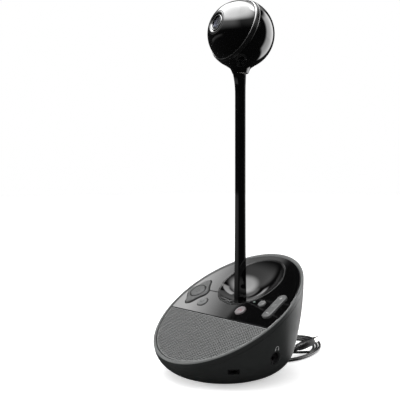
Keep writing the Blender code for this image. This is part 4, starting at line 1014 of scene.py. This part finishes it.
neck = build("neck_part", *lathe(flare, 96), HEAD, smooth=40)
bm = bmesh.new()
bm.from_mesh(cup.data)
bm.from_mesh(neck.data)
bm.to_mesh(cup.data)
bm.free()
bpy.data.objects.remove(neck, do_unlink=True)
finish_shade(cup, 38)
wear(cup, "head_cup")

TRIM_LOW = TRIM_OFF + 0.3
a0, a1 = degrees(acos(OPEN_OFF / BALL_R)), degrees(acos(TRIM_LOW / BALL_R))
b0, b1 = degrees(acos(OPEN_OFF / R_IN)), degrees(acos(TRIM_LOW / R_IN))
ring_prof = [(BALL_R * sin(radians(a1)) - 0.22, TRIM_LOW)] + arc(BALL_R, a1 - 0.35, a0 + 0.9, 5)
lip_o, lip_i = BALL_R * sin(radians(a0)), R_IN * sin(radians(b0))
ring_prof += [((lip_o + lip_i) / 2 + (lip_o - lip_i) / 2 * cos(radians(a)), OPEN_OFF - 0.45 + 0.45 * sin(radians(a))) for a in range(15, 166, 15)]
ring_prof += arc(R_IN, b0 + 0.6, b1, 4)
wear(build("opening_ring", *lathe(ring_prof, 144), OPEN, smooth=32, mats=[RING_BLACK]), "head_trim_ring")

h_out, h_in = degrees(asin(LENS_HOLE / EYE_R)), degrees(asin(LENS_HOLE / EYE_RI))
front = [(LENS_HOLE, EYE_R * cos(radians(h_out)) - 0.35), (LENS_HOLE + 0.08, EYE_R * cos(radians(h_out)) - 0.12)]
front += arc(EYE_R, h_out + 0.6, EYE_SPLIT, 34) + arc(EYE_RI, EYE_SPLIT, h_in, 16)
wear(build("eye_front_gloss", *lathe(front, SKIN), EYE, smooth=35), "eye_front_shell")


def cover_angle(psi):
    a, b = cos(radians(EYE_LIFT)), sin(radians(EYE_LIFT)) * cos(psi)
    return degrees(atan2(b, a) + acos(cos(radians(EYE_COVER)) / sqrt(a * a + b * b)))


loops = []
for rad, steps in ((EYE_R, range(0, 13)), (EYE_RI, range(12, -1, -1))):
    for k in steps:
        loop = []
        for i in range(SKIN):
            psi = 2 * pi * i / SKIN
            lo = EYE_SPLIT + 0.55
            pol = radians(lo + (cover_angle(psi) - lo) * k / 12)
            loop.append((rad * sin(pol) * sin(psi), rad * sin(pol) * cos(psi), rad * cos(pol)))
        loops.append(loop)
rear = build("eye_rear_gloss", *rings(loops, closed=True), EYE, smooth=35)
cut(rear, build("t", *plate_of(circle(0, 0, 3.3, 40), 28, 36), HEAD @ Matrix.Rotation(pi / 2, 4, "Y")),
    build("t", *plate_of(circle(0, 0, 2.8, 40), 28, 36), HEAD @ Matrix.Rotation(-pi / 2, 4, "Y")), smooth=35)
wear(rear, "eye_rear_shell")

bezel = rounded([(12.1, 27.0), (12.1, 32.15), (11.9, 32.28), (11.2, 32.4), (10.5, 32.45), (10.15, 32.2), (8.75, 31.3), (8.6, 31.0), (8.6, 27.0)],
                [0, 0.1, 0.2, 0.4, 0.25, 0.2, 0.15, 0.1, 0], 3)
wear(build("lens_surround", *lathe(bezel, 96), EYE, smooth=35, mats=[MAT["gloss_black"]]), "lens_bezel", slot="gloss_black")
wear(build("lens_chrome", *lathe(rounded([(7.5, 29.6), (8.3, 29.6), (8.3, 31.75), (8.05, 31.95), (7.75, 31.95), (7.5, 31.7)], [0, 0, 0.15, 0.12, 0.12, 0.15], 3), 96), EYE, smooth=40), "lens_ring")
glass = [(0, 30.0), (7.0, 30.0), (7.2, 30.15), (7.2, 30.5), (7.1, 30.68)] + [(7.0 * (1 - k / 8), 30.72 + 0.38 * (1 - (1 - k / 8) ** 2)) for k in range(0, 8)] + [(0, 31.1)]
wear(build("lens_cover", *lathe(glass, 72), EYE, smooth=40), "cover_glass")
barrel = [(4.6, 11.0), (6.4, 11.0), (6.4, 28.9), (6.1, 29.2), (5.9, 29.2), (5.7, 28.7), (5.3, 28.7), (5.2, 28.2), (4.9, 28.2), (4.6, 27.7)]
wear(build("lens_tube", *lathe(barrel, 64), EYE, smooth=30), "lens_barrel")
elem = [(0, 24.6), (4.1, 24.8), (4.3, 25.0), (4.3, 26.4)] + [(4.2 * (1 - k / 8), 26.45 + 1.15 * (1 - (1 - k / 8) ** 2)) for k in range(0, 8)] + [(0, 27.6)]
wear(build("front_element", *lathe(elem, 64), EYE, smooth=40), "lens_element")

# ================================================================ floor, light and camera
def stage_plane(name, size, z, mat):
    me = bpy.data.meshes.new(name)
    n = 24
    vs = [((i / n - 0.5) * size, (j / n - 0.5) * size, z) for j in range(n + 1) for i in range(n + 1)]
    fs = [[j * (n + 1) + i, j * (n + 1) + i + 1, (j + 1) * (n + 1) + i + 1, (j + 1) * (n + 1) + i] for j in range(n) for i in range(n)]
    me.from_pydata(vs, [], fs)
    ob = bpy.data.objects.new(name, me)
    me.materials.append(mat)
    bpy.context.scene.collection.objects.link(ob)
    ob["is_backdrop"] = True
    return ob


floor_m = bpy.data.materials.new("pale_floor")
floor_m.use_nodes = True
nt = floor_m.node_tree
bsdf = nt.nodes["Principled BSDF"]
bsdf.inputs["Base Color"].default_value = (0.88, 0.88, 0.88, 1.0)
bsdf.inputs["Roughness"].default_value = 0.7
bsdf.inputs["Specular IOR Level"].default_value = 0.2
geo = node(nt, "ShaderNodeNewGeometry")
fsep = node(nt, "ShaderNodeSeparateXYZ")
nt.links.new(geo.outputs["Position"], fsep.inputs[0])


def floor_math(op, a, b=None):
    n = node(nt, "ShaderNodeMath", operation=op)
    for k, x in enumerate((a, b)):
        if isinstance(x, (int, float)):
            n.inputs[k].default_value = x
        elif x is not None:
            nt.links.new(x, n.inputs[k])
    return n.outputs[0]


def floor_step(x, lo, hi):
    n = node(nt, "ShaderNodeMapRange", interpolation_type="SMOOTHSTEP")
    flip = lo > hi
    n.inputs["From Min"].default_value, n.inputs["From Max"].default_value = (hi, lo) if flip else (lo, hi)
    n.inputs["To Min"].default_value, n.inputs["To Max"].default_value = (1.0, 0.0) if flip else (0.0, 1.0)
    nt.links.new(x, n.inputs["Value"])
    return n.outputs["Result"]


isep = node(nt, "ShaderNodeSeparateXYZ")
nt.links.new(geo.outputs["Incoming"], isep.inputs[0])
# as seen in reflections the floor is dark, but for the part the back strip lights
bearing = floor_math("MULTIPLY", floor_math("ARCTAN2", floor_math("MULTIPLY", fsep.outputs[0], -1.0), fsep.outputs[1]), 180 / pi)
lit = floor_math("MULTIPLY", floor_math("MULTIPLY", floor_step(bearing, -42, -30), floor_step(bearing, 12, 4)), floor_math("MULTIPLY", floor_step(isep.outputs[2], 0.62, 0.50), floor_step(fsep.outputs[1], 0.06, 0.12)))
lit = floor_math("MULTIPLY", lit, floor_math("ADD", 0.33, floor_math("MULTIPLY", floor_step(fsep.outputs[1], 0.30, 0.60), 0.67)))
left = floor_math("MULTIPLY", floor_math("MULTIPLY", floor_step(bearing, 98, 116), floor_step(bearing, 168, 150)), floor_step(isep.outputs[2], 0.19, 0.08))
lit = floor_math("ADD", lit, floor_math("MULTIPLY", left, 0.10))
mirror = node(nt, "ShaderNodeEmission")
nt.links.new(floor_math("ADD", floor_math("MULTIPLY", lit, 4.0), 0.02), mirror.inputs["Strength"])
bounce = node(nt, "ShaderNodeBsdfDiffuse")
bounce.inputs["Color"].default_value = (0.45, 0.45, 0.45, 1.0)
lift = node(nt, "ShaderNodeEmission")
lift.inputs["Strength"].default_value = 0.45
shown = node(nt, "ShaderNodeAddShader")
nt.links.new(bsdf.outputs["BSDF"], shown.inputs[0])
nt.links.new(lift.outputs[0], shown.inputs[1])
path_n = node(nt, "ShaderNodeLightPath")
mixd = node(nt, "ShaderNodeMixShader")
nt.links.new(path_n.outputs["Is Diffuse Ray"], mixd.inputs["Fac"])
nt.links.new(shown.outputs[0], mixd.inputs[1])
nt.links.new(bounce.outputs["BSDF"], mixd.inputs[2])
mixs = node(nt, "ShaderNodeMixShader")
nt.links.new(path_n.outputs["Is Glossy Ray"], mixs.inputs["Fac"])
nt.links.new(mixd.outputs[0], mixs.inputs[1])
nt.links.new(mirror.outputs[0], mixs.inputs[2])
nt.links.new(mixs.outputs["Shader"], nt.nodes["Material Output"].inputs["Surface"])
stage_plane("floor", 14.0, -0.0003, floor_m)

sheet_m = bpy.data.materials.new("overhead_sheet")
sheet_m.use_nodes = True
nt = sheet_m.node_tree
nt.nodes.remove(nt.nodes["Principled BSDF"])
geo = node(nt, "ShaderNodeNewGeometry")
csep = node(nt, "ShaderNodeSeparateXYZ")
nt.links.new(geo.outputs["Position"], csep.inputs[0])
SHEET_H = 0.63
dx = floor_math("ADD", csep.outputs[0], 0.0274)
dx = floor_math("ADD", floor_math("MAXIMUM", dx, 0.0), floor_math("MULTIPLY", floor_math("MINIMUM", dx, 0.0), 1.06))
dy = floor_math("ADD", csep.outputs[1], 0.0532)
dy = floor_math("ADD", floor_math("MULTIPLY", floor_math("MAXIMUM", dy, 0.0), 1.35), floor_math("MINIMUM", dy, 0.0))      # it ends sooner at the back
reach = floor_math("SQRT", floor_math("ADD", floor_math("MULTIPLY", dx, dx), floor_math("MULTIPLY", dy, dy)))
fade = floor_step(reach, 0.40, 0.17)
em = node(nt, "ShaderNodeEmission")
nt.links.new(floor_math("MULTIPLY", fade, 12.0), em.inputs["Strength"])
clear_n = node(nt, "ShaderNodeBsdfTransparent")
adds = node(nt, "ShaderNodeAddShader")
nt.links.new(em.outputs[0], adds.inputs[0])
nt.links.new(clear_n.outputs[0], adds.inputs[1])
nt.links.new(adds.outputs[0], nt.nodes["Material Output"].inputs["Surface"])
card_ob = stage_plane("overhead_card", 1.16, SHEET_H, sheet_m)
card_ob.location.x, card_ob.location.y = -0.0274, -0.0532
card_ob.visible_camera = False
card_ob.visible_diffuse = False
card_ob.visible_shadow = False
card_ob.visible_transmission = False

world = bpy.data.worlds.new("studio")
bpy.context.scene.world = world
world.use_nodes = True
nt = world.node_tree
nt.nodes.clear()
coord = node(nt, "ShaderNodeTexCoord")
sep = node(nt, "ShaderNodeSeparateXYZ")
nt.links.new(coord.outputs["Generated"], sep.inputs[0])


def math_node(op, a, b=None, c=None):
    n = node(nt, "ShaderNodeMath", operation=op)
    for k, x in enumerate((a, b, c)):
        if x is None:
            continue
        if isinstance(x, (int, float)):
            n.inputs[k].default_value = x
        else:
            nt.links.new(x, n.inputs[k])
    return n.outputs[0]


X, Y, Z = sep.outputs
el = math_node("MULTIPLY", math_node("ARCSINE", Z), 180 / pi)
az = math_node("MULTIPLY", math_node("ARCTAN2", X, math_node("MULTIPLY", Y, -1.0)), 180 / pi)      # 0 towards -Y
az_b = math_node("MULTIPLY", math_node("ARCTAN2", math_node("MULTIPLY", X, -1.0), Y), 180 / pi)     # 0 towards +Y


def step(x, lo, hi):
    """0 below lo, 1 above hi, smooth between (or the other way round if lo > hi)."""
    n = node(nt, "ShaderNodeMapRange", interpolation_type="SMOOTHSTEP")
    flip = lo > hi
    n.inputs["From Min"].default_value, n.inputs["From Max"].default_value = (hi, lo) if flip else (lo, hi)
    n.inputs["To Min"].default_value, n.inputs["To Max"].default_value = (1.0, 0.0) if flip else (0.0, 1.0)
    nt.links.new(x, n.inputs["Value"])
    return n.outputs["Result"]


def times(*xs):
    out = xs[0]
    for x in xs[1:]:
        out = math_node("MULTIPLY", out, x)
    return out


# a weak glow below the overhead sheet, at the front and right
glow = times(step(el, 5, 34), step(az, -84, -62), step(az, 62, 15), 2.0)
glow_r = times(step(el, 8, 40), step(az, 5, 30), step(az, 128, 108), 0.45)
# a sheet behind at the left
sheet = times(step(az, -114, -124), step(el, 28, 48), 1.2)
left_top = times(step(az, -128, -108), step(az, -55, -85), step(el, 48, 54), 2.6)
# a tall strip at the back right
back_strip = times(step(az_b, -42, -30), step(az_b, 12, 4), step(el, 44, 33), 4.6)
back_top = times(step(az_b, -46, -34), step(az_b, 28, 18), step(el, 57, 60), step(el, 72, 67), 9.0)
# a low card at the left, which the control panel mirrors up to a clean edge
card_edge = math_node("ADD", el, times(math_node("ADD", az, 100.0), 0.22))
card = math_node("ADD", 0.85, math_node("MAXIMUM", 0.0, times(math_node("SUBTRACT", 41.9, el), 1.25)))
card = times(math_node("MINIMUM", card, 4.5), step(az, -128, -116), step(az, -86, -96), step(el, 29, 36), step(card_edge, 42.7, 42.4))
total = math_node("MAXIMUM", math_node("MAXIMUM", glow_r, glow), math_node("MAXIMUM", sheet, back_strip))
total = math_node("MAXIMUM", math_node("MAXIMUM", total, left_top), math_node("MAXIMUM", card, back_top))
total = math_node("ADD", total, 0.02)
lp = node(nt, "ShaderNodeLightPath")
gloss_bg = node(nt, "ShaderNodeBackground")
gloss_bg.inputs["Color"].default_value = (1.0, 1.0, 1.0, 1.0)
nt.links.new(total, gloss_bg.inputs["Strength"])
diff_bg = node(nt, "ShaderNodeBackground")
diff_bg.inputs["Strength"].default_value = 0.85
cam_bg = node(nt, "ShaderNodeBackground")
cam_bg.inputs["Color"].default_value = (1.0, 1.0, 1.0, 1.0)
cam_bg.inputs["Strength"].default_value = 1.0
m1 = node(nt, "ShaderNodeMixShader")
nt.links.new(lp.outputs["Is Glossy Ray"], m1.inputs["Fac"])
nt.links.new(diff_bg.outputs[0], m1.inputs[1])
nt.links.new(gloss_bg.outputs[0], m1.inputs[2])
m2 = node(nt, "ShaderNodeMixShader")
nt.links.new(lp.outputs["Is Camera Ray"], m2.inputs["Fac"])
nt.links.new(m1.outputs[0], m2.inputs[1])
nt.links.new(cam_bg.outputs[0], m2.inputs[2])
wout = node(nt, "ShaderNodeOutputWorld")
nt.links.new(m2.outputs[0], wout.inputs["Surface"])


def area(name, loc, aim, size, power):
    data = bpy.data.lights.new(name, "AREA")
    data.shape = "SQUARE"
    data.size = size
    data.energy = power
    ob = bpy.data.objects.new(name, data)
    ob.location = loc
    ob.rotation_euler = (Vector(loc) - Vector(aim)).to_track_quat("Z", "Y").to_euler()
    ob.visible_glossy = False
    bpy.context.scene.collection.objects.link(ob)
    return ob


area("key_overhead", (-0.2, -0.3, 1.6), (0, 0, 0.1), 1.4, 16)
area("fill_right", (1.3, 0.9, 0.8), (0, 0, 0.1), 0.9, 7)
area("fill_left", (-1.2, -0.8, 0.12), (0, 0, 0.03), 0.7, 34)

# camera
A, E, D, F, CX, CY = 48.2, 1.472, 0.700, 679.557, 224.418, 197.464
back = Vector((sin(radians(A)) * cos(radians(E)), -cos(radians(A)) * cos(radians(E)), sin(radians(E))))
cam = bpy.data.cameras.new("camera")
cam_ob = bpy.data.objects.new("camera", cam)
bpy.context.scene.collection.objects.link(cam_ob)
cam_ob.location = Vector((0, 0, 0.18)) + back * D
cam_ob.rotation_euler = back.to_track_quat("Z", "Y").to_euler()
cam.sensor_width = 36.0
cam.lens = F / 400 * 36
cam.shift_x, cam.shift_y = (200 - CX) / 400, (CY - 200) / 400
cam.clip_start = 0.01
bpy.context.scene.camera = cam_ob
bpy.context.scene.view_settings.view_transform = "Standard"
bpy.context.scene.view_settings.look = "None"

lo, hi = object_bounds()
